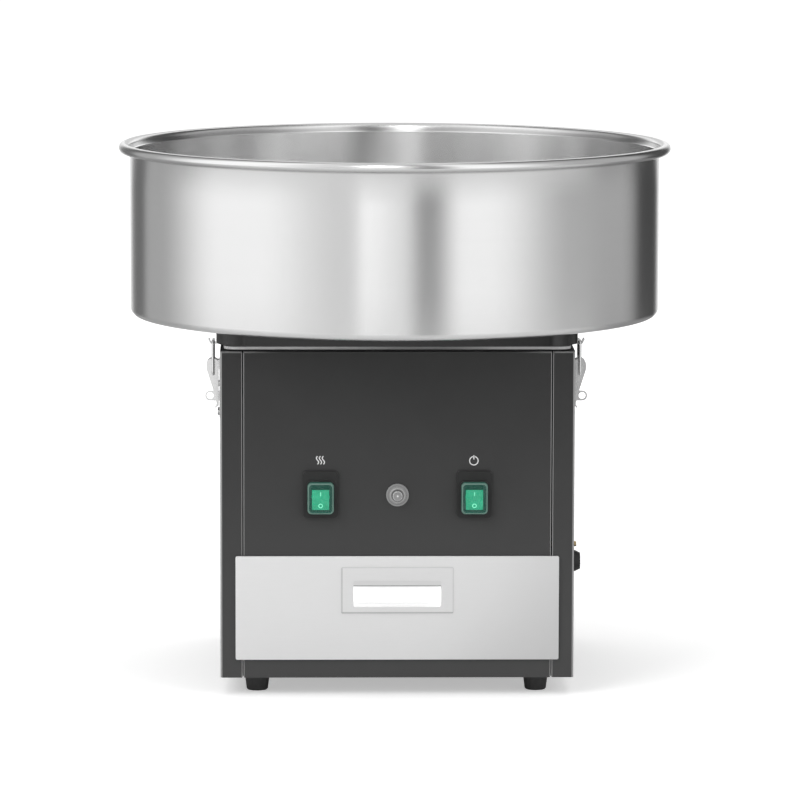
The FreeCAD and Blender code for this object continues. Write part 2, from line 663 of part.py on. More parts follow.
def back_panel():
    """The rear sheet behind the side panels' flanges, with louvres."""
    half = "(%s - back_gap)" % INNER
    inside = "(%s - panel_sheet)" % INNER
    plate = box("back_sheet", ("-" + half, inside, "foot_height + panel_sheet"),
                ("2 * " + half, "panel_sheet", "housing_height - 2 * panel_sheet"))
    slots = []
    hoods = [plate]
    for column in (-1, 1):
        start = "%d * louvre_offset - louvre_half" % column
        for row in range(LOUVRE_ROWS):
            level = "(%s - louvre_top - %d * louvre_pitch)" % (TOP, row)
            slots.append(box("louvre_slot", (start, inside + " - 1",
                         level + " - louvre_open - louvre_sheet"),
                         ("2 * louvre_half", "panel_sheet + 2", "louvre_open")))
            hood = box("louvre_hood", (start, INNER + " - 1", level + " - 0.4"),
                       ("2 * louvre_half", "louvre_reach", "louvre_sheet"))
            hood.Placement.Rotation = FreeCAD.Rotation(FreeCAD.Vector(1, 0, 0), -LOUVRE_SLOPE)
            hoods.append(hood)
    for side in (-1, 1):
        for row in range(BACK_SCREW_ROWS):
            slots.append(rod("back_hole", "Y", ("%d * (housing_half - rear_flange / 2)" % side,
                         INNER + " - 5", screw_level(row)), "panel_screw_radius", "10"))
    return cut("back_panel", fuse("back_hooded", hoods), slots)


def top_deck():
    """The housing's top sheet, with downward lips and a hole for the shaft."""
    edge = "(%s - deck_gap)" % INNER
    inner = "(%s - panel_sheet - deck_gap)" % INNER
    sheet_piece = slab("deck_sheet", edge, inner, TOP + " - panel_sheet", "panel_sheet")
    lips = []
    tools = [rod("deck_hole", "Z", ("0", "0", TOP + " - 5"),
                 "bearing_radius + deck_hole_margin", "10")]
    flange_end = "(housing_half - front_flange + panel_sheet)"
    notch = "(seam_gap + 2 * panel_sheet)"
    for side in (-1, 1):
        lips.append(box("deck_lip", ("%d * (%s - panel_sheet / 2) - panel_sheet / 2"
                    % (side, edge), "-deck_lip_half", TOP + " - deck_lip_height"),
                    ("panel_sheet", "2 * deck_lip_half", "deck_lip_height")))
        tools.append(box("deck_notch", ("%d * (%s - %s / 2) - %s / 2 - deck_gap"
                     % (side, flange_end, notch, notch), "-housing_half", TOP + " - 5"),
                     (notch + " + 2 * deck_gap", "flange_return + deck_gap", "10")))
    return cut("top_deck", fuse("deck_folded", [sheet_piece] + lips), tools)


def top_plate():
    """The pale plate on the deck that the bowl's frame rests on."""
    foot_half = "(%s - plate_inset)" % PLATE_HALF
    foot = slab("plate_foot_block", foot_half, foot_half, TOP, "plate_lift")
    slab_block = slab("plate_block", PLATE_HALF, PLATE_HALF, TOP + " + plate_lift",
                      "plate_thick")
    foot_round = round_upright("plate_foot", foot, size("plate_corner"))
    slab_round = round_upright("plate_slab", slab_block, size("plate_corner"))
    hole = rod("plate_hole", "Z", ("0", "0", TOP + " - 1"), "hub_radius + 12", "20")
    return cut("top_plate", fuse("plate_stepped", [foot_round, slab_round]), [hole])


def rubber_foot(name, x, y):
    """A tapered rubber foot with a recess for its screw."""
    body = start_body(name)
    half = start_sketch(body, name + "_section", "XZ_Plane")
    outline(half, [
        ("foot_screw_radius + 0.2", "4"),
        ("foot_screw_radius * 2.4", "4"),
        ("foot_screw_radius * 2.4", "0"),
        ("foot_bottom_radius - 1", "0"),
        ("foot_bottom_radius", "1"),
        ("foot_top_radius", "foot_height - 1.5"),
        ("foot_top_radius", "foot_height"),
        ("foot_screw_radius + 0.2", "foot_height"),
    ])
    turn(body, half)
    return place(body, FOOT_AT % x, FOOT_AT % y)


def screw(name, axis, start, radius, length, head, head_length):
    """A screw whose head starts at a point and whose shank runs back."""
    shank = rod(name + "_shank", axis, start[0], radius, length)
    cap = rod(name + "_head", axis, start[1], head, head_length)
    return fuse(name, [shank, cap])


def foot_screws():
    pieces = []
    for x in (-1, 1):
        for y in (-1, 1):
            at = (FOOT_AT % x, FOOT_AT % y)
            shank = (at[0], at[1], "4")
            head = (at[0], at[1], "1.4")
            pieces.append(screw("foot_screw", "Z", (shank, head), "foot_screw_radius",
                                "foot_height + panel_sheet - 4",
                                "foot_screw_radius * 2", "2.6"))
    return group("foot_screws", pieces)


# ---- drawer ---------------------------------------------------------------

TRAY_BASE = "(foot_height + tray_lift)"
DRAWER_FACE = "(housing_half + face_gap + drawer_plate)"


def drawer_runner(name, side):
    """A folded runner screwed to the base pan, with a ledge under the tray."""
    body = start_body(name)
    end = start_sketch(body, name + "_fold", "XZ_Plane")
    wall = "(%s + runner_side_gap)" % TRAY_HALF
    low = "(foot_height + panel_sheet)"
    ledge = "(foot_height + tray_lift - slide_gap)"
    section = [
        (wall, low),
        (wall + " + runner_foot", low),
        (wall + " + runner_foot", low + " + runner_sheet"),
        (wall + " + runner_sheet", low + " + runner_sheet"),
        (wall + " + runner_sheet", low + " + runner_height"),
        (wall, low + " + runner_height"),
        (wall, ledge),
        (wall + " - runner_ledge", ledge),
        (wall + " - runner_ledge", ledge + " - runner_sheet"),
        (wall, ledge + " - runner_sheet"),
    ]
    outline(end, [("%d * (%s)" % (side, x), z) for x, z in section])
    length = "(%s - runner_short)" % TRAY_DEPTH
    pad(body, end, length)
    return place(body, y="-housing_half + flange_return + runner_set_back + %s / 2" % length)


def cup_room(name, start, depth):
    """The space that the pull's recess takes in a wall of the drawer."""
    low = "(foot_height + drawer_front_low + pull_low + grip_low)"
    return box(name, ("-grip_half - pull_sheet - cup_gap", start,
               low + " - pull_sheet - cup_gap"),
               ("2 * (grip_half + pull_sheet + cup_gap)", depth,
                "grip_height + 2 * (pull_sheet + cup_gap)"))


def drawer_tray():
    """The open tray that slides out of the housing."""
    front = "(-housing_half - face_gap)"
    outer = box("tray_block", ("-" + TRAY_HALF, front, TRAY_BASE),
                ("2 * " + TRAY_HALF, TRAY_DEPTH, "tray_height"))
    inner_half = "(%s - tray_sheet)" % TRAY_HALF
    room = box("tray_room", ("-" + inner_half, front + " + tray_sheet",
               TRAY_BASE + " + tray_sheet"),
               ("2 * " + inner_half, TRAY_DEPTH + " - 2 * tray_sheet", "tray_height"))
    grip = cup_room("tray_grip_room", "-housing_half - 5", "10")
    return cut("drawer_tray", outer, [room, grip])


def drawer_front():
    """The brushed front plate with folded edges, in front of the tray."""
    plate = box("front_plate_block", ("-" + DRAWER_HALF, "-" + DRAWER_FACE,
                "foot_height + drawer_front_low"), ("2 * " + DRAWER_HALF, "drawer_plate",
                "drawer_front_high"))
    rounded = round_facing("front_plate_round", plate, 1.6)
    hole = cup_room("front_plate_hole", "-%s - 1" % DRAWER_FACE, "drawer_plate + 2")
    return cut("drawer_front", rounded, [hole])


def drawer_pull():
    """A pressed frame with a recess behind it for the fingers."""
    base = "(foot_height + drawer_front_low + pull_low)"
    grip = "(%s + grip_low)" % base
    face = "(%s + pull_proud)" % DRAWER_FACE
    frame = box("pull_frame_block", ("-pull_half", "-" + face, base),
                ("2 * pull_half", "pull_proud", "pull_height"))
    frame_round = round_facing("pull_frame", frame, 1.2)
    cup = box("pull_cup", ("-grip_half - pull_sheet", "-" + DRAWER_FACE, grip + " - pull_sheet"),
              ("2 * (grip_half + pull_sheet)", "grip_depth", "grip_height + 2 * pull_sheet"))
    room = box("pull_room_block", ("-grip_half", "-%s - 1" % face, grip),
               ("2 * grip_half", "grip_depth + pull_proud + 1 - pull_sheet", "grip_height"))
    room_round = round_facing("pull_room", room, 1.6)
    hollow = cut("pull_hollow", fuse("pull_solid", [frame_round, cup]), [room_round])
    lip = box("pull_lip", ("-grip_half - 0.4", "-%s + lip_inset" % face,
              grip + " + grip_height - grip_lip"),
              ("2 * (grip_half + 0.4)", "pull_sheet", "grip_lip + 0.4"))
    return fuse("drawer_pull", [hollow, lip])


# ---- switches and breaker -------------------------------------------------

SWITCH_BASE = "(foot_height + switch_height)"
BOOT_MIDDLE = "(foot_height + switch_height - boot_drop)"
PIVOT_DEPTH = "(housing_half - pivot_behind)"


def blade(name, middle, back, level):
    """A plug-on blade that stands out of the back of a case."""
    return box(name + "_blade", (middle + " - blade_half", back + " - 1",
               level + " - blade_sheet / 2"),
               ("2 * blade_half", "blade_length + 1", "blade_sheet"))


def switch_bezel(name, side):
    """The switch's body: a flange on the panel and a case behind it."""
    middle = "%d * switch_offset" % side
    flange_block = box(name + "_flange_block", (middle + " - bezel_half",
                       "-housing_half - bezel_thick", SWITCH_BASE + " - bezel_high / 2"),
                       ("2 * bezel_half", "bezel_thick", "bezel_high"))
    flange = round_facing(name + "_flange", flange_block, size("bezel_corner"))
    collar_half = "(boot_half + collar_wall)"
    collar_high = "(boot_high + 2 * collar_wall)"
    collar_block = box(name + "_collar_block", ("%s - %s" % (middle, collar_half),
                       "-housing_half - bezel_thick - collar_proud",
                       "%s - %s / 2" % (BOOT_MIDDLE, collar_high)),
                       ("2 * " + collar_half, "collar_proud + 1", collar_high))
    collar = round_facing(name + "_collar", collar_block, size("boot_corner"))
    case = box(name + "_case", (middle + " - switch_body_half", "-housing_half - 1",
               BOOT_MIDDLE + " - switch_body_high / 2"), ("2 * switch_body_half",
               "switch_body_depth + 1", "switch_body_high"))
    blades = []
    for row in (-1, 1):
        blades.append(blade(name, middle, "-housing_half + switch_body_depth",
                            "%s + %d * switch_blade_offset" % (BOOT_MIDDLE, row)))
    seat_block = box(name + "_seat_block", (middle + " - boot_half - boot_gap",
                     "-housing_half - bezel_thick - 2",
                     BOOT_MIDDLE + " - boot_high / 2 - boot_gap"),
                     ("2 * (boot_half + boot_gap)", "2", "boot_high + 2 * boot_gap"))
    seat = round_facing(name + "_seat", seat_block, size("boot_corner") - 0.6)
    well = box(name + "_well", (middle + " - rocker_half - well_gap", "-housing_half - 6",
               BOOT_MIDDLE + " - rocker_high / 2 - well_swing"),
               ("2 * (rocker_half + well_gap)", "13", "rocker_high + 2 * well_swing"))
    pivot_half = "(rocker_half + stub_length + 0.3)"
    pivot = rod(name + "_pivot_hole", "X", ("%s - %s" % (middle, pivot_half),
                "-" + PIVOT_DEPTH, BOOT_MIDDLE), "pivot_radius + fit_gap",
                "2 * " + pivot_half)
    solid = fuse(name + "_solid", [flange, collar, case] + blades)
    return cut(name, solid, [seat, well, pivot])


def switch_boot(name, side):
    """The clear splash boot over a rocker."""
    middle = "%d * switch_offset" % side
    base = "(housing_half + bezel_thick)"
    outer_block = box(name + "_outer_block", (middle + " - boot_half",
                      "-%s - boot_depth" % base, BOOT_MIDDLE + " - boot_high / 2"),
                      ("2 * boot_half", "boot_depth", "boot_high"))
    outer = round_facing(name + "_outer", outer_block, size("boot_corner"))
    front = size("housing_half") + size("bezel_thick") + size("boot_depth")
    domed = round_edges(name + "_dome", outer, 2.2,
                        lambda edge, middle_point: abs(middle_point.y + front) < 1e-3)
    inner_block = box(name + "_inner_block", (middle + " - boot_half + boot_wall",
                      "-%s - boot_depth + boot_wall" % base,
                      BOOT_MIDDLE + " - boot_high / 2 + boot_wall"),
                      ("2 * (boot_half - boot_wall)", "boot_depth + 3",
                       "boot_high - 2 * boot_wall"))
    inner = round_facing(name + "_inner", inner_block,
                         size("boot_corner") - size("boot_wall"))
    return cut(name, domed, [inner])


def rocker(name, side):
    """A green rocker on pivot stubs, tilted to its off position."""
    body = start_body(name)
    section = start_sketch(body, name + "_section", "YZ_Plane")
    outline(section, [
        ("-rocker_reach", "-rocker_high / 2"),
        ("rocker_root", "-rocker_high / 4"),
        ("rocker_root", "rocker_high / 4"),
        ("-rocker_reach", "rocker_high / 2"),
        ("-rocker_reach + rocker_dish", "0"),
    ])
    pad(body, section, "2 * rocker_half")
    stub = start_sketch(body, name + "_stubs", "YZ_Plane")
    circle(stub, "0", "0", "pivot_radius")
    pad(body, stub, "2 * (rocker_half + stub_length)")
    body.Placement.Rotation = FreeCAD.Rotation(FreeCAD.Vector(1, 0, 0), size("rocker_tilt"))
    return place(body, "%d * switch_offset" % side, "-" + PIVOT_DEPTH, BOOT_MIDDLE)


BREAKER = "(foot_height + breaker_height)"


def breaker_nut():
    """The washer and the ring nut that hold the breaker in the panel."""
    washer = rod("breaker_washer", "Y", ("0", "-housing_half - washer_thick", BREAKER),
                 "washer_radius", "washer_thick")
    nut = rod("breaker_ring", "Y", ("0", "-housing_half - washer_thick - nut_thick", BREAKER),
              "nut_radius", "nut_thick + 0.5")
    rounded = round_edges("breaker_ring_round", nut, 0.8, lambda edge, middle:
                          middle.y < -size("housing_half") - size("washer_thick") - 1)
    bore = rod("breaker_nut_bore", "Y", ("0", "-housing_half - 20", BREAKER),
               "button_radius + fit_gap", "30")
    return cut("breaker_nut", fuse("breaker_front", [washer, rounded]), [bore])


def breaker_body():
    """The breaker's threaded neck, case and blades behind the panel."""
    neck = rod("breaker_neck", "Y", ("0", "-housing_half", BREAKER), "nut_radius - neck_inset",
               "panel_sheet + neck_length")
    case = box("breaker_case", ("-breaker_half", "-housing_half + panel_sheet",
               BREAKER + " - breaker_high / 2"),
               ("2 * breaker_half", "breaker_depth", "breaker_high"))
    blades = []
    for row in (-1, 1):
        blades.append(blade("breaker", "0", "-housing_half + panel_sheet + breaker_depth",
                            "%s + %d * breaker_blade_offset" % (BREAKER, row)))
    bore = rod("breaker_bore", "Y", ("0", "-housing_half - 1", BREAKER),
               "button_radius + fit_gap", "button_root + button_travel + 5")
    return cut("breaker_body", fuse("breaker_solid", [neck, case] + blades), [bore])


def reset_button():
    """The sprung plunger that sets the breaker again."""
    front = "(housing_half + washer_thick + nut_thick + button_proud)"
    stem = rod("button_stem", "Y", ("0", "-" + front, BREAKER), "button_radius",
               "washer_thick + nut_thick + button_proud + button_root")
    return round_edges("reset_button", stem, 0.9, lambda edge, middle:
                       middle.y < -size("housing_half") - 3 and not is_along(edge, (0, 1, 0)))


# ---- toggle latches -------------------------------------------------------

PIVOT_X = "(housing_half + latch_plate + lever_gap + lever_head)"
PIVOT_Z = "(foot_height + housing_height - latch_pivot_drop)"
BAIL_X = "(%s - bail_pivot_inset)" % PIVOT_X
BAIL_Z = "(%s - bail_pivot_drop)" % PIVOT_Z
BAR_Z = "(foot_height + housing_height + plate_lift + plate_thick - hook_seat_drop)"
EYE_X = "(housing_half + latch_plate + eye_outward)"
EYE_Z = "(%s - eye_drop)" % PIVOT_Z


def mirrored(side, points):
    """Points of a section in the XZ plane, for the left or the right latch."""
    return [("%d * (%s)" % (side, x), z) for x, z in points]


def latch_base(name, side):
    """The plate on the housing's side, with two ears for the lever's pin."""
    body = start_body(name)
    plate = start_sketch(body, name + "_plate", "XZ_Plane")
    outline(plate, mirrored(side, [
        ("housing_half", PLATE_LOW),
        ("housing_half + latch_plate", PLATE_LOW),
        ("housing_half + latch_plate", PLATE_LOW + " + latch_plate_high"),
        ("housing_half", PLATE_LOW + " + latch_plate_high"),
    ]))
    pad(body, plate, "2 * latch_plate_half")
    ear_half = "(lever_half - lever_sheet - 0.2)"
    ear = start_sketch(body, name + "_ear", "XZ_Plane")
    outline(ear, mirrored(side, [
        ("housing_half + latch_plate / 2", PIVOT_Z + " - lever_head + 1.4"),
        (PIVOT_X, PIVOT_Z + " - lever_head + 1.4"),
        (PIVOT_X, PIVOT_Z + " + lever_head - 1.4"),
        ("housing_half + latch_plate / 2", PIVOT_Z + " + lever_head - 1.4"),
    ]))
    pad(body, ear, "2 * " + ear_half)
    nose = start_sketch(body, name + "_nose", "XZ_Plane")
    circle(nose, "%d * %s" % (side, PIVOT_X), PIVOT_Z, "lever_head - 1.4")
    pad(body, nose, "2 * " + ear_half)
    gap = start_sketch(body, name + "_gap", "XZ_Plane")
    rectangle_x = ("%d * (housing_half + latch_plate)" % side,
                   "%d * (%s + lever_head)" % (side, PIVOT_X))
    rectangle(gap, rectangle_x[0], PIVOT_Z + " - lever_head",
              rectangle_x[1], PIVOT_Z + " + lever_head")
    pocket(body, gap, "2 * (%s - lever_sheet)" % ear_half)
    hole = start_sketch(body, name + "_pin_hole", "XZ_Plane")
    circle(hole, "%d * %s" % (side, PIVOT_X), PIVOT_Z, "latch_pin_radius")
    pocket(body, hole, "2 * lever_half")
    screws = start_sketch(body, name + "_screw_holes", "YZ_Plane")
    for row, along in LATCH_SCREWS:
        circle(screws, "%.1f" % along, PLATE_LOW + " + %.1f" % row, "latch_screw_radius")
    pocket(body, screws, "3 * housing_half")
    return place(body, y="-latch_forward")


def padlock_eye(name, side):
    """The tab on the base plate that a padlock's shackle goes through."""
    body = start_body(name)
    tab = start_sketch(body, name + "_tab", "XZ_Plane")
    outline(tab, mirrored(side, [
        ("housing_half + latch_plate", EYE_Z + " - eye_radius"),
        (EYE_X, EYE_Z + " - eye_radius"),
        (EYE_X, EYE_Z + " + eye_radius"),
        ("housing_half + latch_plate", EYE_Z + " + eye_radius"),
    ]))
    pad(body, tab, "2 * eye_half")
    ring = start_sketch(body, name + "_ring", "XZ_Plane")
    circle(ring, "%d * %s" % (side, EYE_X), EYE_Z, "eye_radius")
    pad(body, ring, "2 * eye_half")
    hole = start_sketch(body, name + "_hole", "XZ_Plane")
    circle(hole, "%d * %s" % (side, EYE_X), EYE_Z, "eye_hole")
    pocket(body, hole, "4 * eye_half")
    return place(body, y="-latch_forward")


def latch_lever(name, side):
    """The folded lever: two cheeks round the pin and a web that tapers down."""
    body = start_body(name)
    tip_z = "(%s - lever_length)" % PIVOT_Z
    back = "(housing_half + latch_plate + lever_gap + 0.6)"
    tip = "(%s + lever_tip)" % back
    knee = "(%s + lever_knee)" % back
    front = "(%s + lever_head)" % PIVOT_X
    blade = start_sketch(body, name + "_blade", "XZ_Plane")
    outline(blade, mirrored(side, [
        (back, PIVOT_Z),
        (back, tip_z),
        (tip, tip_z),
        (knee, EYE_Z),
        (front, PIVOT_Z + " - 4.4"),
        (front, PIVOT_Z),
    ]))
    pad(body, blade, "2 * lever_half")
    head = start_sketch(body, name + "_head", "XZ_Plane")
    circle(head, "%d * %s" % (side, PIVOT_X), PIVOT_Z, "lever_head")
    pad(body, head, "2 * lever_half")
    lip = start_sketch(body, name + "_lip", "XZ_Plane")
    outline(lip, mirrored(side, [
        (tip + " - lever_sheet", tip_z + " + 0.4"),
        (tip + " + 1.2", tip_z + " - 2.0"),
        (tip + " + 1.9", tip_z + " - 1.2"),
        (tip + " + 0.1", tip_z + " + 1.6"),
    ]))
    pad(body, lip, "2 * lever_half - 3")
    room = start_sketch(body, name + "_room", "XZ_Plane")
    outline(room, mirrored(side, [
        (back + " - 3", PIVOT_Z + " + lever_head + 2"),
        (back + " - 3", tip_z + " + lever_sheet"),
        (tip + " - lever_sheet", tip_z + " + lever_sheet"),
        (knee + " - lever_sheet", EYE_Z),
        (front + " - lever_sheet", PIVOT_Z + " - 4.5"),
        (front + " - lever_sheet", PIVOT_Z + " - 0.5"),
        (front + " + 2", PIVOT_Z + " - 0.5"),
        (front + " + 2", PIVOT_Z + " + lever_head + 2"),
    ]))
    pocket(body, room, "2 * (lever_half - lever_sheet)")
    slot = start_sketch(body, name + "_slot", "XZ_Plane")
    rectangle(slot, "%d * %s" % (side, back), EYE_Z + " - eye_radius - 2.2",
              "%d * (%s + lever_head)" % (side, front), EYE_Z + " + eye_radius + 3.4")
    pocket(body, slot, "2 * (eye_half + 0.9)")
    holes = start_sketch(body, name + "_holes", "XZ_Plane")
    circle(holes, "%d * %s" % (side, PIVOT_X), PIVOT_Z, "latch_pin_radius + fit_gap")
    circle(holes, "%d * %s" % (side, BAIL_X), BAIL_Z, "wire_radius + fit_gap")
    pocket(body, holes, "2 * lever_half + 4")
    return place(body, y="-latch_forward")


def latch_pins():
    """The riveted pins through the ears and the levers, with a head at each end."""
    pins = []
    reach = "(lever_half + fit_gap)"
    for name, side in SIDES:
        at = "%d * %s" % (side, PIVOT_X)
        pieces = [rod(name + "_pin_stem", "Y", (at, "-latch_forward - " + reach, PIVOT_Z),
                      "latch_pin_radius", "2 * " + reach)]
        for start in ("- %s - pin_head_thick" % reach, "+ " + reach):
            pieces.append(rod(name + "_pin_head", "Y", (at, "-latch_forward " + start, PIVOT_Z),
                              "pin_head", "pin_head_thick"))
        pins.append(fuse(name + "_latch_pin", pieces))
    return group("latch_pins", pins)


def quarter_bend(name, x, y, z, start_angle):
    """A quarter torus of the bail's wire, in a plane across X."""
    item = doc.addObject("Part::Torus", name)
    tie(item, Radius1="bail_bend", Radius2="wire_radius")
    item.Angle3 = 90
    turned = FreeCAD.Rotation(FreeCAD.Vector(1, 0, 0), start_angle + 90)
    item.Placement.Rotation = turned.multiply(AXIS_TURN["X"])
    return place(item, x, y, z)


def latch_bail(name, side):
    """The wire loop: a bar in the hook, two legs and two ends in the lever."""
    x = "%d * %s" % (side, BAIL_X)
    pieces = []
    bar_half = "(lever_half + bail_side)"
    leg_half = "(%s + bail_bend)" % bar_half
    inner = "(lever_half - lever_sheet - 0.1)"
    pieces.append(rod(name + "_bar", "Y", (x, "-latch_forward - " + bar_half, BAR_Z),
                      "wire_radius", "2 * " + bar_half))
    for end in (-1, 1):
        leg_y = "-latch_forward + %d * %s" % (end, leg_half)
        bend_y = "-latch_forward + %d * %s" % (end, bar_half)
        pieces.append(rod(name + "_leg", "Z", (x, leg_y, BAIL_Z + " + bail_bend"),
                          "wire_radius", "%s - %s - 2 * bail_bend" % (BAR_Z, BAIL_Z)))
        top_angle = 0 if end > 0 else 90
        low_angle = 270 if end > 0 else 180
        pieces.append(quarter_bend(name + "_top_bend", x, bend_y, BAR_Z + " - bail_bend",
                                   top_angle))
        pieces.append(quarter_bend(name + "_low_bend", x, bend_y, BAIL_Z + " + bail_bend",
                                   low_angle))
        start = inner if end > 0 else "-" + bar_half
        pieces.append(rod(name + "_end", "Y", (x, "-latch_forward + " + start, BAIL_Z),
                          "wire_radius", "%s - %s" % (bar_half, inner)))
    return fuse(name, pieces)


def latch_keeper(name, side):
    """The hook on the frame's side that the bail pulls down on."""
    body = start_body(name)
    seat = "(%s - wire_radius - hook_gap)" % BAR_Z
    hook = start_sketch(body, name + "_section", "XZ_Plane")
    inner = "(%s + hook_sheet)" % FRAME_HALF
    outline(hook, mirrored(side, [
        (FRAME_HALF, BOWL_BASE + " - 1.5"),
        (FRAME_HALF, seat + " - hook_sheet"),
        (BAIL_X + " + wire_radius + 1.1", seat + " - hook_sheet"),
        (BAIL_X + " + wire_radius + 3.3", seat + " + 3.6"),
        (BAIL_X + " + wire_radius + 2.3", seat + " + 3.9"),
        (BAIL_X + " + wire_radius + 0.7", seat),
        (inner, seat),
        (inner, BOWL_BASE + " - 1.5"),
    ]))
    pad(body, hook, "2 * hook_half")
    wing = start_sketch(body, name + "_wing", "XZ_Plane")
    outline(wing, mirrored(side, [
        (FRAME_HALF, BOWL_BASE + " - 1.5"),
        (FRAME_HALF, PLATE_TOP + " + 1.5"),
        (inner, PLATE_TOP + " + 1.5"),
        (inner, BOWL_BASE + " - 1.5"),
    ]))
    pad(body, wing, "2 * latch_plate_half")
    return place(body, y="-latch_forward")


def latch_screws():
    """Pan-head screws in the latch base plates."""
    pieces = []
    for name, side in SIDES:
        for row, along in LATCH_SCREWS:
            outer = "housing_half + latch_plate"
            shank_start = outer if side < 0 else "housing_half - 5"
            head_start = outer + " + 1.7" if side < 0 else outer
            y = "-latch_forward + %.1f" % along
            z = PLATE_LOW + " + %.1f" % row
            shank = ("%d * (%s)" % (side, shank_start), y, z)
            head = ("%d * (%s)" % (side, head_start), y, z)
            length = "5 + latch_plate"
            pieces.append(screw("latch_screw", "X", (shank, head), "latch_screw_radius",
                                length, "2.9", "1.7"))
    return group("latch_screws", pieces)


# ---- cable entry ----------------------------------------------------------

GLAND_Z = "(foot_height + gland_height)"


def hexagon_nut(name, x, z, radius, height):
    """A hexagonal block on the right side, with its axis along X."""
    item = doc.addObject("Part::Prism", name)
    item.Polygon = 6
    tie(item, Circumradius=radius, Height=height)
    item.Placement.Rotation = AXIS_TURN["X"]
    return place(item, x, "gland_back", z)


def cable_gland():
    """The gland's hexagon, thread and domed nut, bored for the cable."""
    thread = rod("gland_thread_rod", "X", ("housing_half - gland_inside", "gland_back", GLAND_Z),
                 "gland_thread", "gland_inside + 2")
    hexagon = hexagon_nut("gland_hexagon_block", "housing_half", GLAND_Z, "gland_radius",
                          "gland_hexagon")
    round_radius = "(gland_radius - gland_shoulder)"
    dome_start = "(housing_half + gland_length - gland_dome)"
    nut = rod("gland_nut", "X", ("housing_half + gland_hexagon - 0.4", "gland_back", GLAND_Z),
              round_radius, "gland_length - gland_dome - gland_hexagon + 0.4")
    dome = taper("gland_dome_cone", "X", (dome_start, "gland_back", GLAND_Z),
                 round_radius, round_radius + " - gland_nose", "gland_dome")
    bore = rod("gland_hole", "X", ("housing_half - 20", "gland_back", GLAND_Z),
               "gland_bore", "gland_length + 40")
    return cut("cable_gland", fuse("gland_solid", [thread, hexagon, nut, dome]), [bore])


def gland_locknut():
    """The flat nut on the gland's thread, inside the panel."""
    nut = hexagon_nut("locknut_hexagon", INNER + " - locknut_thick", GLAND_Z, "gland_radius",
                      "locknut_thick")
    hole = rod("locknut_hole", "X", ("housing_half - 20", "gland_back", GLAND_Z),
               "gland_thread", "40")
    return cut("gland_locknut", nut, [hole])


def earth_stud():
    """The bonding stud above the gland, with its nut."""
    level = "(%s + stud_lift)" % GLAND_Z
    stem = rod("stud_stem", "X", ("housing_half - stud_inside", "gland_back", level),
               "stud_radius", "stud_inside + stud_outside")
    nut = hexagon_nut("stud_hexagon", "housing_half", level, "stud_radius * 1.9", "stud_nut")
    return fuse("earth_stud", [stem, nut])


# ---- bowl -----------------------------------------------------------------

BOWL_BOLT = "%d * bowl_bolt_circle / sqrt(2)"
COLLAR_EDGE = "(hub_radius + collar_flange)"


def rounded_block(name, half, corner, low_z, height):
    """A square block with rounded upright edges."""
    return round_upright(name, slab(name + "_block", half, half, low_z, height), corner)


def bowl_base_frame():
    """The glossy rounded frame that carries the bowl on the top plate."""
    corner = size("frame_corner")
    wall = size("frame_wall")
    outer = rounded_block("frame_outer", FRAME_HALF, corner, PLATE_TOP, "frame_height")
    room = rounded_block("frame_room", FRAME_HALF + " - frame_wall", corner - wall,
                         PLATE_TOP + " + frame_wall", "frame_height - 2 * frame_wall")
    mouth = rounded_block("frame_mouth", FRAME_HALF + " - frame_ledge",
                          corner - size("frame_ledge"), PLATE_TOP + " - 1", "frame_wall + 2")
    tools = [room, mouth]
    tools.append(rod("frame_hole", "Z", ("0", "0", BOWL_BASE + " - 6"), "hub_radius + 8", "8"))
    for x in (-1, 1):
        joint = "%d * (%s - frame_corner)" % (x, FRAME_HALF)
        for start in ("-%s - 1" % FRAME_HALF, FRAME_HALF + " - joint_depth"):
            tools.append(box("frame_joint", (joint + " - joint_width / 2", start,
                         PLATE_TOP + " - 1"),
                         ("joint_width", "joint_depth + 1", "frame_height + 2")))
    for x, y in CORNERS:
        tools.append(rod("frame_bolt_hole", "Z", (BOWL_BOLT % x, BOWL_BOLT % y,
                     BOWL_BASE + " - 6"), "bowl_bolt_radius", "8"))
    return cut("bowl_base_frame", outer, tools)


def bowl():
    """The spun bowl: bottom with a hole for its collar, wall and rolled rim."""
    body = start_body("bowl")
    section = start_sketch(body, "bowl_section", "XZ_Plane")
    lip = "(bowl_height - 2 * bead_radius)"
    curl = "(bowl_radius + rim_reach - 2 * bead_radius + 0.8)"
    inside = "(bowl_radius - bowl_wall)"
    outline(section, [
        (COLLAR_EDGE, "bowl_wall"),
        (COLLAR_EDGE, "0"),
        ("bowl_radius", "0"),
        ("bowl_radius", lip),
        (curl, lip + " + bead_radius * 0.8"),
        (curl, lip + " + bead_radius * 1.25"),
        (inside, lip + " + 1"),
        (inside, "bowl_wall"),
    ])
    turn(body, section)
    rim = start_sketch(body, "bowl_rim", "XZ_Plane")
    circle(rim, "bowl_radius + rim_reach - bead_radius", "bowl_height - bead_radius",
           "bead_radius")
    turn(body, rim)
    outer = size("bowl_radius")
    inner = outer - size("bowl_wall")

    def at_ring(radius, height):
        def test(edge, middle):
            return (abs(math.hypot(middle.x, middle.y) - radius) < 0.02
                    and abs(middle.z - height) < 0.02 and isinstance(edge.Curve, Part.Circle))
        return test
    fillet(body, "bowl_corner", at_ring(outer, 0))
    fillet(body, "bowl_corner - bowl_wall", at_ring(inner, size("bowl_wall")))
    holes = start_sketch(body, "bowl_holes", "XY_Plane")
    for x, y in CORNERS:
        circle(holes, BOWL_BOLT % x, BOWL_BOLT % y, "bowl_bolt_radius")
    pocket(body, holes, "20")
    return place(body, z=BOWL_BASE)


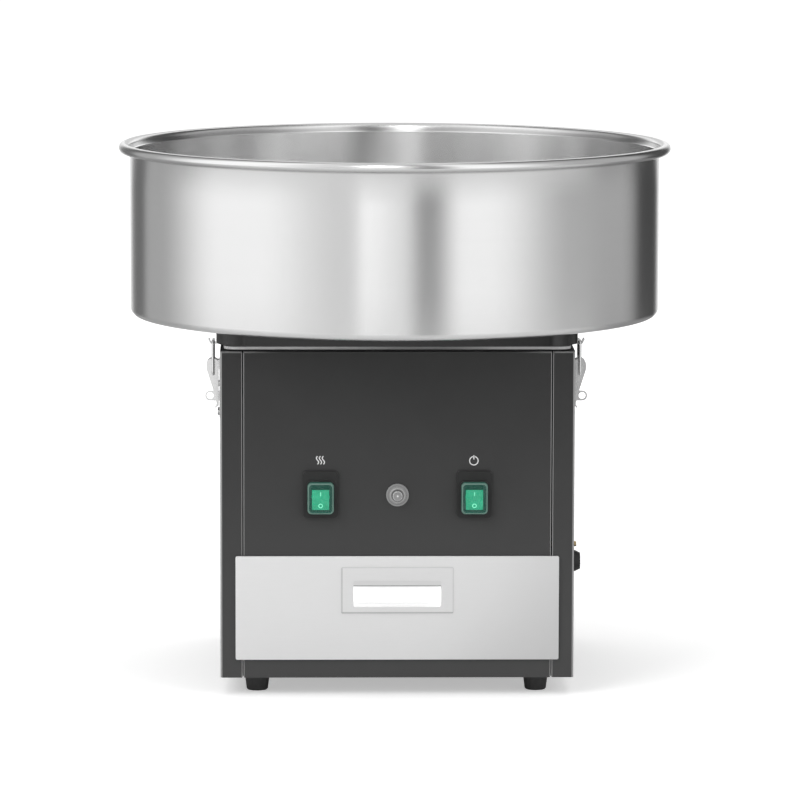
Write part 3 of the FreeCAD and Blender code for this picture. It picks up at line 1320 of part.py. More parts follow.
def bowl_collar():
    """The turned collar round the shaft, welded into the bowl's bottom."""
    body = start_body("bowl_collar")
    section = start_sketch(body, "collar_section", "XZ_Plane")
    outline(section, [
        ("hub_radius", "0"),
        (COLLAR_EDGE, "0"),
        (COLLAR_EDGE, "bowl_wall"),
        ("hub_radius + bowl_wall", "bowl_wall"),
        ("hub_radius + bowl_wall", "hub_height"),
        ("hub_radius", "hub_height"),
    ])
    turn(body, section)
    return place(body, z=BOWL_BASE)


def bowl_bolts():
    """Dome-headed bolts that hold the bowl on its frame, with their nuts."""
    pieces = []
    for x, y in CORNERS:
        at = (BOWL_BOLT % x, BOWL_BOLT % y)
        shank = rod("bowl_bolt_shank", "Z", (at[0], at[1], BOWL_BASE + " - bowl_bolt_tail"),
                    "bowl_bolt_radius", "bowl_bolt_tail + bowl_wall")
        head = taper("bowl_bolt_head_dome", "Z", (at[0], at[1], BOWL_BASE + " + bowl_wall"),
                     "bowl_bolt_radius * 2.1", "bowl_bolt_radius * 1.2", "bowl_bolt_head")
        nut = rod("bowl_bolt_nut", "Z", (at[0], at[1],
                  BOWL_BASE + " - frame_wall - bowl_nut_thick"),
                  "bowl_bolt_radius * 1.8", "bowl_nut_thick")
        pieces.append(fuse("bowl_bolt", [shank, head, nut]))
    return group("bowl_bolts", pieces)


# ---- motor and drive ------------------------------------------------------

MOTOR_TOP = "(foot_height + housing_height - motor_drop)"
MOTOR_BOLT_X = "%d * motor_radius * 0.55"
MOTOR_BOLT_Y = "%d * motor_radius * 0.41"


def motor():
    """The motor, with its end bell, cooling grooves and the bore for the shaft."""
    case = rod("motor_case", "Z", ("0", "0", MOTOR_TOP + " - motor_height"),
               "motor_radius", "motor_height")
    bell = rod("motor_bell", "Z", ("0", "0", MOTOR_TOP + " - motor_height - bell_height"),
               "motor_radius * 0.62", "bell_height + 1")
    bore = rod("motor_bore", "Z", ("0", "0", MOTOR_TOP + " - shaft_in_motor - 2"),
               "shaft_radius + fit_gap", "shaft_in_motor + 10")
    tools = [bore]
    for level in (0.2, 0.4, 0.6, 0.8):
        low = "%s - motor_height * %.1f" % (MOTOR_TOP, level)
        around = rod("motor_groove_outer", "Z", ("0", "0", low), "motor_radius + 2",
                     "cooling_groove")
        core = rod("motor_groove_core", "Z", ("0", "0", low + " - 1"),
                   "motor_radius - groove_depth", "cooling_groove + 2")
        tools.append(cut("motor_groove", around, [core]))
    for x, y in CORNERS:
        tools.append(rod("motor_bolt_hole", "Z", (MOTOR_BOLT_X % x, MOTOR_BOLT_Y % y,
                     MOTOR_TOP + " - motor_bolt_depth"), "motor_bolt_radius", "20"))
    return cut("motor", fuse("motor_solid", [case, bell]), tools)


def motor_bracket():
    """The bridge welded under the deck that the motor hangs from."""
    half = "(motor_radius + bracket_margin)"
    depth = "2 * bracket_half"
    pieces = [box("bracket_bridge", ("-" + half, "-bracket_half", MOTOR_TOP),
                  ("2 * " + half, depth, "bracket_sheet"))]
    leg = "%d * (" + half + " - bracket_sheet / 2) - bracket_sheet / 2"
    flange = "%d * (" + half + " + (bracket_flange - 1) / 2) - (bracket_flange + 1) / 2"
    for side in (-1, 1):
        pieces.append(box("bracket_leg", (leg % side, "-bracket_half", MOTOR_TOP),
                          ("bracket_sheet", depth, "motor_drop - panel_sheet")))
        pieces.append(box("bracket_flange_plate", (flange % side, "-bracket_half",
                      TOP + " - panel_sheet - bracket_sheet"),
                      ("bracket_flange + 1", depth, "bracket_sheet")))
    tools = [rod("bracket_hole", "Z", ("0", "0", MOTOR_TOP + " - 1"), "shaft_radius + 6",
                 "bracket_sheet + 2")]
    for x, y in CORNERS:
        tools.append(rod("bracket_bolt_hole", "Z", (MOTOR_BOLT_X % x, MOTOR_BOLT_Y % y,
                     MOTOR_TOP + " - 1"), "motor_bolt_radius", "bracket_sheet + 2"))
    return cut("motor_bracket", fuse("bracket_folded", pieces), tools)


def motor_bolts():
    """Bolts from the bracket into the motor's end plate."""
    pieces = []
    for x, y in CORNERS:
        at = (MOTOR_BOLT_X % x, MOTOR_BOLT_Y % y)
        shank = (at[0], at[1], MOTOR_TOP + " - motor_bolt_depth")
        head = (at[0], at[1], MOTOR_TOP + " + bracket_sheet")
        pieces.append(screw("motor_bolt", "Z", (shank, head), "motor_bolt_radius",
                            "motor_bolt_depth + bracket_sheet",
                            "motor_bolt_radius * 1.8", "3.5"))
    return group("motor_bolts", pieces)


def shaft_bearing():
    """The flanged bearing in the deck that steadies the shaft."""
    ring = rod("bearing_ring", "Z", ("0", "0", TOP + " - bearing_height"),
               "bearing_radius", "bearing_height + bearing_flange_thick")
    flange = rod("bearing_flange_plate", "Z", ("0", "0", TOP),
                 "bearing_radius + bearing_flange", "bearing_flange_thick")
    bore = rod("bearing_bore", "Z", ("0", "0", TOP + " - bearing_height - 1"),
               "shaft_radius + fit_gap", "bearing_height + 10")
    return cut("shaft_bearing", fuse("bearing_solid", [ring, flange]), [bore])


RING_LEVELS = tuple("(foot_height + housing_height - ring_low + %d * ring_pitch)" % number
                    for number in (0, 1))


def brush_holder():
    """The insulated post on the bracket that holds the two brushes."""
    brush_end = "(ring_radius + brush_gap + brush_length)"
    pieces = [box("brush_post", (brush_end + " + 4", "-post_width / 2",
                  MOTOR_TOP + " + bracket_sheet"), ("post_depth", "post_width", "post_height"))]
    for level in RING_LEVELS:
        pieces.append(box("brush_arm", (brush_end, "-arm_width / 2", level),
                          ("6", "arm_width", "ring_height")))
    return fuse("brush_holder", pieces)


def carbon_brushes():
    """The two carbon brushes beside the slip rings."""
    pieces = []
    for level in RING_LEVELS:
        pieces.append(box("carbon_brush", ("ring_radius + brush_gap", "-brush_width / 2",
                      level + " + (ring_height - brush_height) / 2"),
                      ("brush_length", "brush_width", "brush_height")))
    return group("carbon_brushes", pieces)


def terminal_block():
    """The mains terminal block on the base pan, behind the drawer."""
    low = "(foot_height + panel_sheet)"
    front = "(housing_half - terminal_margin)"
    pieces = [box("terminal_plate", ("terminal_left", front, low),
                  ("terminal_long", "terminal_deep", "terminal_base"))]
    holes = []
    for number in range(3):
        start = "(terminal_left + 1.5 + %d * terminal_pitch)" % number
        pieces.append(box("terminal_pole_block", (start, front + " + 2",
                      low + " + terminal_base - 1"), ("terminal_pole", "terminal_pole", "9")))
        holes.append(rod("terminal_hole", "Y", (start + " + terminal_pole / 2",
                     front + " - 2", low + " + terminal_base + 3.5"), "2", "20"))
    return cut("terminal_block", fuse("terminal_solid", pieces), holes)


def back_panel_screws():
    """Screws that hold the back panel to the side panels' flanges."""
    pieces = []
    for side in (-1, 1):
        for row in range(BACK_SCREW_ROWS):
            x = "%d * (housing_half - rear_flange / 2)" % side
            z = screw_level(row)
            pieces.append(screw("panel_screw", "Y", ((x, INNER + " - 6", z),
                          (x, "housing_half", z)), "panel_screw_radius",
                          "6 + panel_sheet", "3.4", "1.9"))
    return group("back_panel_screws", pieces)


# ---- spinner head ---------------------------------------------------------

HEAD = "(%s + bowl_wall + head_lift)" % BOWL_BASE


def spinner_shaft():
    """The drive shaft from the motor to the spinner pan, with its collar."""
    low = "(%s - shaft_in_motor)" % MOTOR_TOP
    stem = rod("shaft_stem", "Z", ("0", "0", low), "shaft_radius",
               "%s - %s + head_sheet + shaft_end" % (HEAD, low))
    collar = rod("shaft_collar", "Z", ("0", "0", HEAD + " - collar_high"),
                 "shaft_radius + collar_wide", "collar_high")
    return fuse("spinner_shaft", [stem, collar])


def slip_rings():
    """Two brass rings that bring current to the heating ring."""
    pieces = []
    for level in RING_LEVELS:
        ring = rod("slip_ring", "Z", ("0", "0", level), "ring_radius", "ring_height")
        hole = rod("slip_ring_hole", "Z", ("0", "0", level + " - 1"), "shaft_radius",
                   "ring_height + 2")
        pieces.append(cut("slip_ring_cut", ring, [hole]))
    return group("slip_rings", pieces)


def spinner_base():
    """The spun pan that carries the heater and the screen."""
    body = start_body("spinner_base")
    section = start_sketch(body, "pan_section", "XZ_Plane")
    outline(section, [
        ("shaft_radius", "0"),
        ("head_radius - pan_slope_wide", "0"),
        ("head_radius + pan_rim", "pan_slope"),
        ("head_radius + pan_rim", "pan_rim_high"),
        ("head_radius + pan_rim - head_sheet", "pan_rim_high"),
        ("head_radius + pan_rim - head_sheet", "pan_slope + head_sheet / 2"),
        ("head_radius - pan_slope_wide - head_sheet / 3", "head_sheet"),
        ("shaft_radius", "head_sheet"),
    ])
    turn(body, section)
    spinner_holes(body, "pan_screw_holes")
    vents = start_sketch(body, "pan_vents", "XY_Plane")
    circle(vents, "head_radius * 0.55", "0", "pan_vent")
    vent = pocket(body, vents, "20")
    doc.recompute()
    ring = body.newObject("PartDesign::PolarPattern", "pan_vent_ring")
    ring.Originals = [vent]
    ring.Axis = (vents, ["N_Axis"])
    ring.Angle = 360
    ring.Occurrences = 6
    body.Tip = ring
    doc.recompute()
    return place(body, z=HEAD)


def heating_ring():
    """The tubular heating ring on three posts above the pan."""
    level = "(%s + head_sheet + heater_lift)" % HEAD
    pieces = [torus("heater_tube_ring", ("0", "0", level), "heater_radius", "heater_tube")]
    for number in range(3):
        angle = math.radians(30 + 120 * number)
        pieces.append(rod("heater_post", "Z", ("%.6f * heater_radius" % math.cos(angle),
                      "%.6f * heater_radius" % math.sin(angle), HEAD + " + head_sheet"),
                      "heater_post", "heater_lift - 1"))
    return fuse("heating_ring", pieces)


def screen_band():
    """The slotted band that the molten sugar is flung through."""
    body = start_body("screen_band")
    section = start_sketch(body, "band_section", "XZ_Plane")
    rectangle(section, "head_radius - head_sheet", "0", "head_radius", "head_height")
    turn(body, section)
    slot = start_sketch(body, "band_slot", "YZ_Plane")
    rectangle(slot, "-slot_width / 2", "slot_margin", "slot_width / 2",
              "head_height - slot_margin")
    doc.recompute()
    feature = body.newObject("PartDesign::Pocket", "band_slot_pocket")
    feature.Profile = slot
    feature.Reversed = True
    tie(feature, Length="head_radius + 5")
    doc.recompute()
    polar(body, feature, "screen_slots")
    return place(body, z=HEAD + " + band_lift")


def spinner_cap():
    """The lid on the band, with the throat that sugar is poured through."""
    body = start_body("spinner_cap")
    section = start_sketch(body, "cap_section", "XZ_Plane")
    top = "(band_lift + head_height)"
    throat = top + " - throat_depth"
    outline(section, [
        ("sugar_mouth", throat),
        ("sugar_mouth", top + " + cap_crown"),
        ("head_radius + cap_gap + head_sheet", top + " + head_sheet"),
        ("head_radius + cap_gap + head_sheet", top + " - cap_skirt"),
        ("head_radius + cap_gap", top + " - cap_skirt"),
        ("head_radius + cap_gap", top),
        ("head_radius - head_sheet", top),
        ("sugar_mouth + head_sheet", top + " + cap_crown - 1.2 * head_sheet"),
        ("sugar_mouth + head_sheet", throat),
    ])
    turn(body, section)
    spinner_holes(body, "cap_screw_holes")
    return place(body, z=HEAD)


def screw_spot(number):
    """Plan position of one spinner screw."""
    angle = math.radians(90 + 120 * number)
    reach = "%.6f * (head_radius - spinner_screw_inset)"
    return reach % math.cos(angle), reach % math.sin(angle)


def spinner_holes(body, name):
    """Holes for the three spinner screws."""
    holes = start_sketch(body, name, "XY_Plane")
    for number in range(3):
        x, y = screw_spot(number)
        circle(holes, x, y, "spinner_screw_radius")
    pocket(body, holes, "4 * head_height")


def spinner_screws():
    """Long screws that clamp the cap to the pan."""
    pieces = []
    seat = "(%s + band_lift + head_height + 0.78 * cap_crown)" % HEAD
    low = "(%s - spinner_screw_tail)" % HEAD
    for number in range(3):
        x, y = screw_spot(number)
        pieces.append(screw("spinner_screw", "Z", ((x, y, low), (x, y, seat)),
                            "spinner_screw_radius", "%s - %s" % (seat, low),
                            "2 * spinner_screw_radius", "spinner_screw_head"))
    return group("spinner_screws", pieces)


# ---- the whole machine ----------------------------------------------------

def build():
    """Every sub-part, each with its own label."""
    parts = [base_pan(), front_panel(), back_panel(), top_deck(), top_plate()]
    for name, side in SIDES:
        parts.append(side_panel(name + "_side_panel", side))
        parts.append(drawer_runner(name + "_drawer_runner", side))
        parts.append(latch_base(name + "_latch_base", side))
        parts.append(padlock_eye(name + "_padlock_eye", side))
        parts.append(latch_lever(name + "_latch_lever", side))
        parts.append(latch_bail(name + "_latch_bail", side))
        parts.append(latch_keeper(name + "_latch_keeper", side))
    for row, y in (("front", -1), ("rear", 1)):
        for name, x in SIDES:
            parts.append(rubber_foot("foot_%s_%s" % (row, name), x, y))
    for name, side in (("heat", -1), ("power", 1)):
        parts.append(switch_bezel(name + "_switch_bezel", side))
        parts.append(switch_boot(name + "_switch_boot", side))
        parts.append(rocker(name + "_rocker", side))
    parts += [foot_screws(), latch_pins(), latch_screws(), back_panel_screws()]
    parts += [drawer_tray(), drawer_front(), drawer_pull()]
    parts += [breaker_nut(), breaker_body(), reset_button()]
    parts += [cable_gland(), gland_locknut(), earth_stud()]
    parts += [bowl_base_frame(), bowl(), bowl_collar(), bowl_bolts()]
    parts += [motor(), motor_bracket(), motor_bolts(), shaft_bearing()]
    parts += [brush_holder(), carbon_brushes(), terminal_block()]
    parts += [spinner_shaft(), slip_rings(), spinner_base(), heating_ring()]
    parts += [screen_band(), spinner_cap(), spinner_screws()]
    return parts


def check_and_write(parts):
    """Stop on a failed object or a bad shape, then write one file per part."""
    doc.recompute()
    for item in doc.Objects:
        if "Invalid" in item.State or "Error" in item.State:
            raise ValueError(item.Label + " failed: " + ", ".join(item.State))
    for item in parts:
        shape = item.Shape
        if shape.isNull() or not shape.isValid() or not shape.Solids:
            raise ValueError(item.Label + " has no valid shape")
    os.makedirs("parts", exist_ok=True)
    for item in parts:
        item.Shape.exportStep("parts/%s.step" % item.Label)
        print("%-22s solids %d  volume %.0f" % (item.Label, len(item.Shape.Solids),
                                                item.Shape.Volume))


check_and_write(build())
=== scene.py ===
import json
import math

import bpy
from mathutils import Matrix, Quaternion, Vector
from mathutils.bvhtree import BVHTree


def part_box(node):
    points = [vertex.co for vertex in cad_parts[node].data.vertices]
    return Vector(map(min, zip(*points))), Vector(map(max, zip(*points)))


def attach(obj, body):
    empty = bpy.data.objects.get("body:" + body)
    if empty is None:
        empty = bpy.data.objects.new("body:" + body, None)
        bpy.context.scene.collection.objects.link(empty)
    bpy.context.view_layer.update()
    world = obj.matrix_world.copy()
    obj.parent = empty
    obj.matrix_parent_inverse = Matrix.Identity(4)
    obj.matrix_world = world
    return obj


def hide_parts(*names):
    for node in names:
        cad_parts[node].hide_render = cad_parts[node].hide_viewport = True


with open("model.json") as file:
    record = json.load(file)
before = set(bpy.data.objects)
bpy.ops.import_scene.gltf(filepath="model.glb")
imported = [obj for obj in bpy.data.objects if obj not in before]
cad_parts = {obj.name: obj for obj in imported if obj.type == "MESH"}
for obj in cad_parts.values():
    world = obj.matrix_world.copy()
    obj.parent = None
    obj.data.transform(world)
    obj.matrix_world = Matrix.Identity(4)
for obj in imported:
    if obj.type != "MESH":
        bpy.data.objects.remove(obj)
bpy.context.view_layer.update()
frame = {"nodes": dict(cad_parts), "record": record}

NODES = frame["nodes"]
COLLECTION = bpy.context.scene.collection

# Places on the CAD, in metres, where a finish, a painted light or a painted shade changes.
BOWL_RADIUS = 0.25
BEAD_LOW = 0.4906
PLATE_EDGE = 0.3222
PULL_FACE = -0.1668
PULL_HALF = 0.0511
PULL_LOW = 0.078
PULL_HIGH = 0.1195
RECESS_TOP = 0.1074
RECESS_LOW = 0.0832
RECESS_HALF = 0.0404
RECESS_BACK = -0.1474
LOUVRES_FROM = 0.1632
HEM_LOW = 0.317
PANEL_HIGH = 0.34
BREAKER_HEIGHT = 0.1868


# ---- camera, from the photograph's perspective ------------------------------

CAMERA_AZIMUTH = math.radians(-1.19)
CAMERA_ELEVATION = math.radians(7.06)
CAMERA_DISTANCE = 5.0
CAMERA_TARGET = Vector((0.00553, 0.0, 0.2546))
CAMERA_ROLL = 0.0022
FOCAL_PIXELS = 5269.0
FRAME_PIXELS = 800.0
SENSOR_WIDTH = 36.0
CLIP_END = 200.0


def make_camera():
    """The photograph's viewpoint."""
    data = bpy.data.cameras.new("camera")
    data.sensor_width = SENSOR_WIDTH
    data.lens = FOCAL_PIXELS * SENSOR_WIDTH / FRAME_PIXELS
    data.clip_end = CLIP_END
    camera = bpy.data.objects.new("camera", data)
    level = math.cos(CAMERA_ELEVATION)
    back = Vector((math.sin(CAMERA_AZIMUTH) * level, -math.cos(CAMERA_AZIMUTH) * level,
                   math.sin(CAMERA_ELEVATION)))
    camera.location = CAMERA_TARGET + back * CAMERA_DISTANCE
    camera.rotation_mode = "QUATERNION"
    roll = Quaternion((0, 0, 1), CAMERA_ROLL)
    camera.rotation_quaternion = (-back).to_track_quat("-Z", "Y") @ roll
    COLLECTION.objects.link(camera)
    bpy.context.scene.camera = camera


# ---- materials ---------------------------------------------------------------

NOISE_LOW = 0.3
NOISE_HIGH = 0.7
BEND_FROM = 0.12
BEND_FULL = 0.5

# The colour sockets of a Mix node, by number because names repeat in it.
MIX_FIRST = 6
MIX_SECOND = 7
MIX_COLOUR = 2


class Nodes:
    """A small helper round one material's node tree."""

    def __init__(self, name):
        self.material = bpy.data.materials.new(name)
        self.material.use_nodes = True
        self.tree = self.material.node_tree
        self.shader = self.tree.nodes["Principled BSDF"]

    def add(self, kind, **values):
        """A node, with its properties and inputs by name."""
        node = self.tree.nodes.new(kind)
        for key, value in values.items():
            if hasattr(node, key) and key not in node.inputs:
                setattr(node, key, value)
            else:
                node.inputs[key].default_value = value
        return node

    def link(self, out, into):
        """A wire from an output to an input."""
        self.tree.links.new(out, into)

    def set(self, **values):
        """Fixed values of the shader's inputs."""
        for key, value in values.items():
            self.shader.inputs[key.replace("_", " ")].default_value = value

    def coords(self, scale):
        """Object coordinates, stretched so that the grain is at a real size."""
        place = self.add("ShaderNodeTexCoord")
        mapping = self.add("ShaderNodeMapping", Scale=scale)
        self.link(place.outputs["Object"], mapping.inputs["Vector"])
        return mapping.outputs["Vector"]

    def noise(self, vector, scale, detail=3.0, rough=0.5):
        """A noise value at a place."""
        node = self.add("ShaderNodeTexNoise", Scale=scale, Detail=detail,
                        Roughness=rough)
        self.link(vector, node.inputs["Vector"])
        return node.outputs["Fac"]

    def span(self, value, low, high):
        """A noise value spread over a range."""
        return self.map_range(value, NOISE_LOW, NOISE_HIGH, low, high, "LINEAR")

    def tint(self, value, dark, light):
        """A base colour between two shades, by a noise value."""
        node = self.add("ShaderNodeMix", data_type="RGBA")
        self.link(self.span(value, 0.0, 1.0), node.inputs["Factor"])
        node.inputs[MIX_FIRST].default_value = (*dark, 1)
        node.inputs[MIX_SECOND].default_value = (*light, 1)
        self.link(node.outputs[MIX_COLOUR], self.shader.inputs["Base Color"])

    def math(self, operation, first, second=0.5, clamp=False):
        """One step of arithmetic on sockets or numbers."""
        node = self.add("ShaderNodeMath", operation=operation, use_clamp=clamp)
        for socket, value in zip(node.inputs, (first, second)):
            if isinstance(value, (int, float)):
                socket.default_value = value
            else:
                self.link(value, socket)
        return node.outputs[0]

    def ramp(self, value, start, end, low=0.0, high=1.0):
        """A value that goes softly from low to high between start and end."""
        return self.map_range(value, start, end, low, high, "SMOOTHSTEP")

    def map_range(self, value, start, end, low, high, kind):
        """A value taken from one range to another."""
        node = self.add("ShaderNodeMapRange", interpolation_type=kind)
        for key, number in (("From Min", start), ("From Max", end), ("To Min", low),
                            ("To Max", high)):
            node.inputs[key].default_value = number
        self.link(value, node.inputs["Value"])
        return node.outputs["Result"]

    def axes(self, source, kind):
        """Three sockets of a place or a normal, from one of a node's outputs."""
        where = self.add(source)
        apart = self.add("ShaderNodeSeparateXYZ")
        self.link(where.outputs[kind], apart.inputs[0])
        return apart.outputs

    def object_axes(self, kind="Object"):
        """The place, or the normal, in the object's own coordinates."""
        return self.axes("ShaderNodeTexCoord", kind)

    def both(self, first, second):
        """The product of two shares."""
        return self.math("MULTIPLY", first, second)

    def size(self, value):
        """A value without its sign."""
        return self.math("ABSOLUTE", value)

    def inverse(self, share):
        """1 where a share is 0, and the other way round."""
        return self.ramp(share, 1.0, 0.0)

    def reach(self, first, second):
        """The distance from an axis, from two sockets."""
        squares = self.math("ADD", self.both(first, first), self.both(second, second))
        return self.math("SQRT", squares)

    def bends(self):
        """1 on a rounded edge, 0 on flat faces: where a finish is painted lighter as a
        painted highlight.
        """
        x, y, z = self.object_axes("Normal")
        total = 0.0
        for first, second in ((x, y), (y, z), (x, z)):
            total = self.math("ADD", self.size(self.both(first, second)), total)
        return self.ramp(total, BEND_FROM, BEND_FULL)

    def blend(self, share, colour):
        """Mix the base colour towards another one."""
        node = self.add("ShaderNodeMix", data_type="RGBA")
        base = self.shader.inputs["Base Color"]
        self.link(share, node.inputs["Factor"])
        self.link(base.links[0].from_socket, node.inputs[MIX_FIRST])
        node.inputs[MIX_SECOND].default_value = (*colour, 1)
        self.link(node.outputs[MIX_COLOUR], base)

    def bump(self, value, strength, distance):
        """Fine relief from a noise value."""
        node = self.add("ShaderNodeBump", Strength=strength, Distance=distance)
        self.link(value, node.inputs["Height"])
        self.link(node.outputs["Normal"], self.shader.inputs["Normal"])


def grey(value):
    """A colour without a hue."""
    return (value, value, value)


METAL_RELIEF = 0.00002
BOWL_ANISOTROPIC = 0.93
BOWL_ROUGH_INSIDE = 0.2
BOWL_ROUGH_OUTSIDE = 0.26
BEAD_SMOOTHER = 0.06


def sheet_steel(name, stretch, shade=0.74, rough=0.28, spread=0.03, bump=0.12,
                warmth=(1.0, 1.0, 1.0)):
    """Brushed metal: fine parallel scratches in colour, roughness and relief."""
    nodes = Nodes(name)
    grain = nodes.noise(nodes.coords(stretch), 1.0, detail=4.0, rough=0.6)
    nodes.tint(grain, tuple((shade - spread) * c for c in warmth),
               tuple((shade + spread) * c for c in warmth))
    nodes.set(Metallic=1.0)
    nodes.link(nodes.span(grain, rough - 0.03, rough + 0.04),
               nodes.shader.inputs["Roughness"])
    nodes.bump(grain, bump, METAL_RELIEF)
    return nodes


def spun_steel():
    """The bowl: brushed round its axis, so it mirrors in crisp upright bands."""
    nodes = sheet_steel("bowl_steel", (5.0, 5.0, 1500.0), shade=0.9, rough=0.33,
                        spread=0.012, bump=0.02)
    x, y, z = nodes.object_axes()
    reach = nodes.reach(x, y)
    bead = nodes.ramp(reach, BOWL_RADIUS + 0.0002, BOWL_RADIUS + 0.0012)
    nodes.link(nodes.ramp(bead, 0.0, 1.0, BOWL_ANISOTROPIC, 0.0),
               nodes.shader.inputs["Anisotropic"])
    outside = nodes.ramp(reach, BOWL_RADIUS - 0.0013, BOWL_RADIUS - 0.0009)
    wall = nodes.ramp(outside, 0.0, 1.0, BOWL_ROUGH_INSIDE, BOWL_ROUGH_OUTSIDE)
    nodes.link(nodes.math("SUBTRACT", wall, nodes.both(bead, BEAD_SMOOTHER)),
               nodes.shader.inputs["Roughness"])
    rise = nodes.object_axes("Normal")[2]
    # Painted shade on the bead's underside, and on its top where it mirrors too much
    # white.
    bead_below = nodes.both(bead, nodes.ramp(rise, -0.1, -0.7))
    bead_above = nodes.both(bead, nodes.ramp(rise, 0.3, 0.9))
    nodes.blend(bead_below, grey(0.62))
    nodes.blend(bead_above, grey(0.7))
    # Painted shadow: a dark line on the outer wall just under the bead.
    under = nodes.both(nodes.ramp(z, BEAD_LOW - 0.002, BEAD_LOW), nodes.inverse(bead))
    nodes.blend(nodes.both(under, outside), grey(0.6))
    nodes.set(Anisotropic_Rotation=0.25)
    tangent = nodes.add("ShaderNodeTangent", direction_type="RADIAL", axis="Z")
    nodes.link(tangent.outputs["Tangent"], nodes.shader.inputs["Tangent"])
    return nodes


COAT_GRAIN = 1400.0
COAT_CLOUDS = 22.0
COAT_SPREAD = 0.06
COAT_RELIEF = 0.00004


def coated(name, shade, rough, bump=0.25, metallic=0.0, edge_highlight=None, shine=0.5):
    """Powder coat, rubber or moulded plastic: a fine even texture."""
    nodes = Nodes(name)
    vector = nodes.coords((1, 1, 1))
    fine = nodes.noise(vector, COAT_GRAIN, detail=2.0)
    wide = nodes.noise(vector, COAT_CLOUDS, detail=3.0)
    nodes.tint(wide, tuple(c * (1 - COAT_SPREAD) for c in shade),
               tuple(c * (1 + COAT_SPREAD) for c in shade))
    nodes.link(nodes.span(fine, rough - 0.03, rough + 0.05),
               nodes.shader.inputs["Roughness"])
    nodes.set(Metallic=metallic, Specular_IOR_Level=shine)
    nodes.bump(fine, bump, COAT_RELIEF)
    # The bends are painted lighter: a painted highlight for the light that their rounding
    # catches.
    if edge_highlight:
        nodes.blend(nodes.bends(), grey(edge_highlight))
    return nodes


def housing_paint():
    """Dark powder coat, painted paler towards the table as painted light from the floor,
    and painted lighter on its bends as a painted highlight.

    The louvres, and the middle of the upper hem where the bowl shades it, get no painted
    highlight.
    """
    nodes = coated("housing_paint", grey(0.034), 0.5, shine=0.3)
    x, y, z = nodes.object_axes()
    # Painted light: paler towards the table, for the light that the white floor throws up.
    nodes.blend(nodes.ramp(z, PANEL_HIGH, 0.0), grey(0.068))
    louvres = nodes.ramp(y, LOUVRES_FROM, LOUVRES_FROM + 0.0004)
    # The middle of the upper hem lies in the bowl's shade, so it gets no painted
    # highlight.
    hem = nodes.both(nodes.ramp(z, HEM_LOW - 0.001, HEM_LOW),
                     nodes.ramp(nodes.size(x), 0.16, 0.1))
    not_highlighted = nodes.math("ADD", louvres, nodes.both(hem, 0.9), clamp=True)
    # Painted highlight on the bends.
    nodes.blend(nodes.both(nodes.bends(), nodes.inverse(not_highlighted)), grey(0.38))
    return nodes


def plate_edge():
    """The plate under the frame: dark as painted shade from the frame above, with a paler
    edge band as a painted highlight, palest at the left and right.
    """
    # Painted shade: the plate is dark where the frame above shades it.
    nodes = coated("plate_grey", grey(0.03), 0.4)
    x, y, z = nodes.object_axes()
    edge = nodes.both(nodes.ramp(z, PLATE_EDGE - 0.0016, PLATE_EDGE - 0.0011),
                      nodes.ramp(z, PLATE_EDGE + 0.0016, PLATE_EDGE + 0.0011))
    # Painted highlight: the edge band, lit below the frame's shade.
    nodes.blend(edge, grey(0.3))
    # Painted highlight, stronger towards the left and the right.
    nodes.blend(nodes.both(edge, nodes.ramp(x, 0.02, -0.12)), grey(0.85))
    nodes.blend(nodes.both(edge, nodes.ramp(x, 0.04, 0.12)), grey(0.7))
    return nodes


SATIN_METALLIC = 0.75


def drawer_steel():
    """The drawer's front: finely brushed along, with painted shade darker to the lower
    right and a painted highlight on its bends.
    """
    nodes = sheet_steel("brushed_steel", (40.0, 900.0, 2600.0), shade=0.98, rough=0.33,
                        spread=0.012, bump=0.04)
    x, y, z = nodes.object_axes()
    slope = nodes.math("SUBTRACT", x, nodes.both(z, 0.7))
    # Painted shade: the reflection darkens towards the lower right.
    nodes.blend(nodes.ramp(slope, -0.03, 0.14), grey(0.76))
    # Painted highlight: a light outline on the bends.
    nodes.blend(nodes.bends(), grey(1.0))
    nodes.set(Metallic=SATIN_METALLIC)
    return nodes


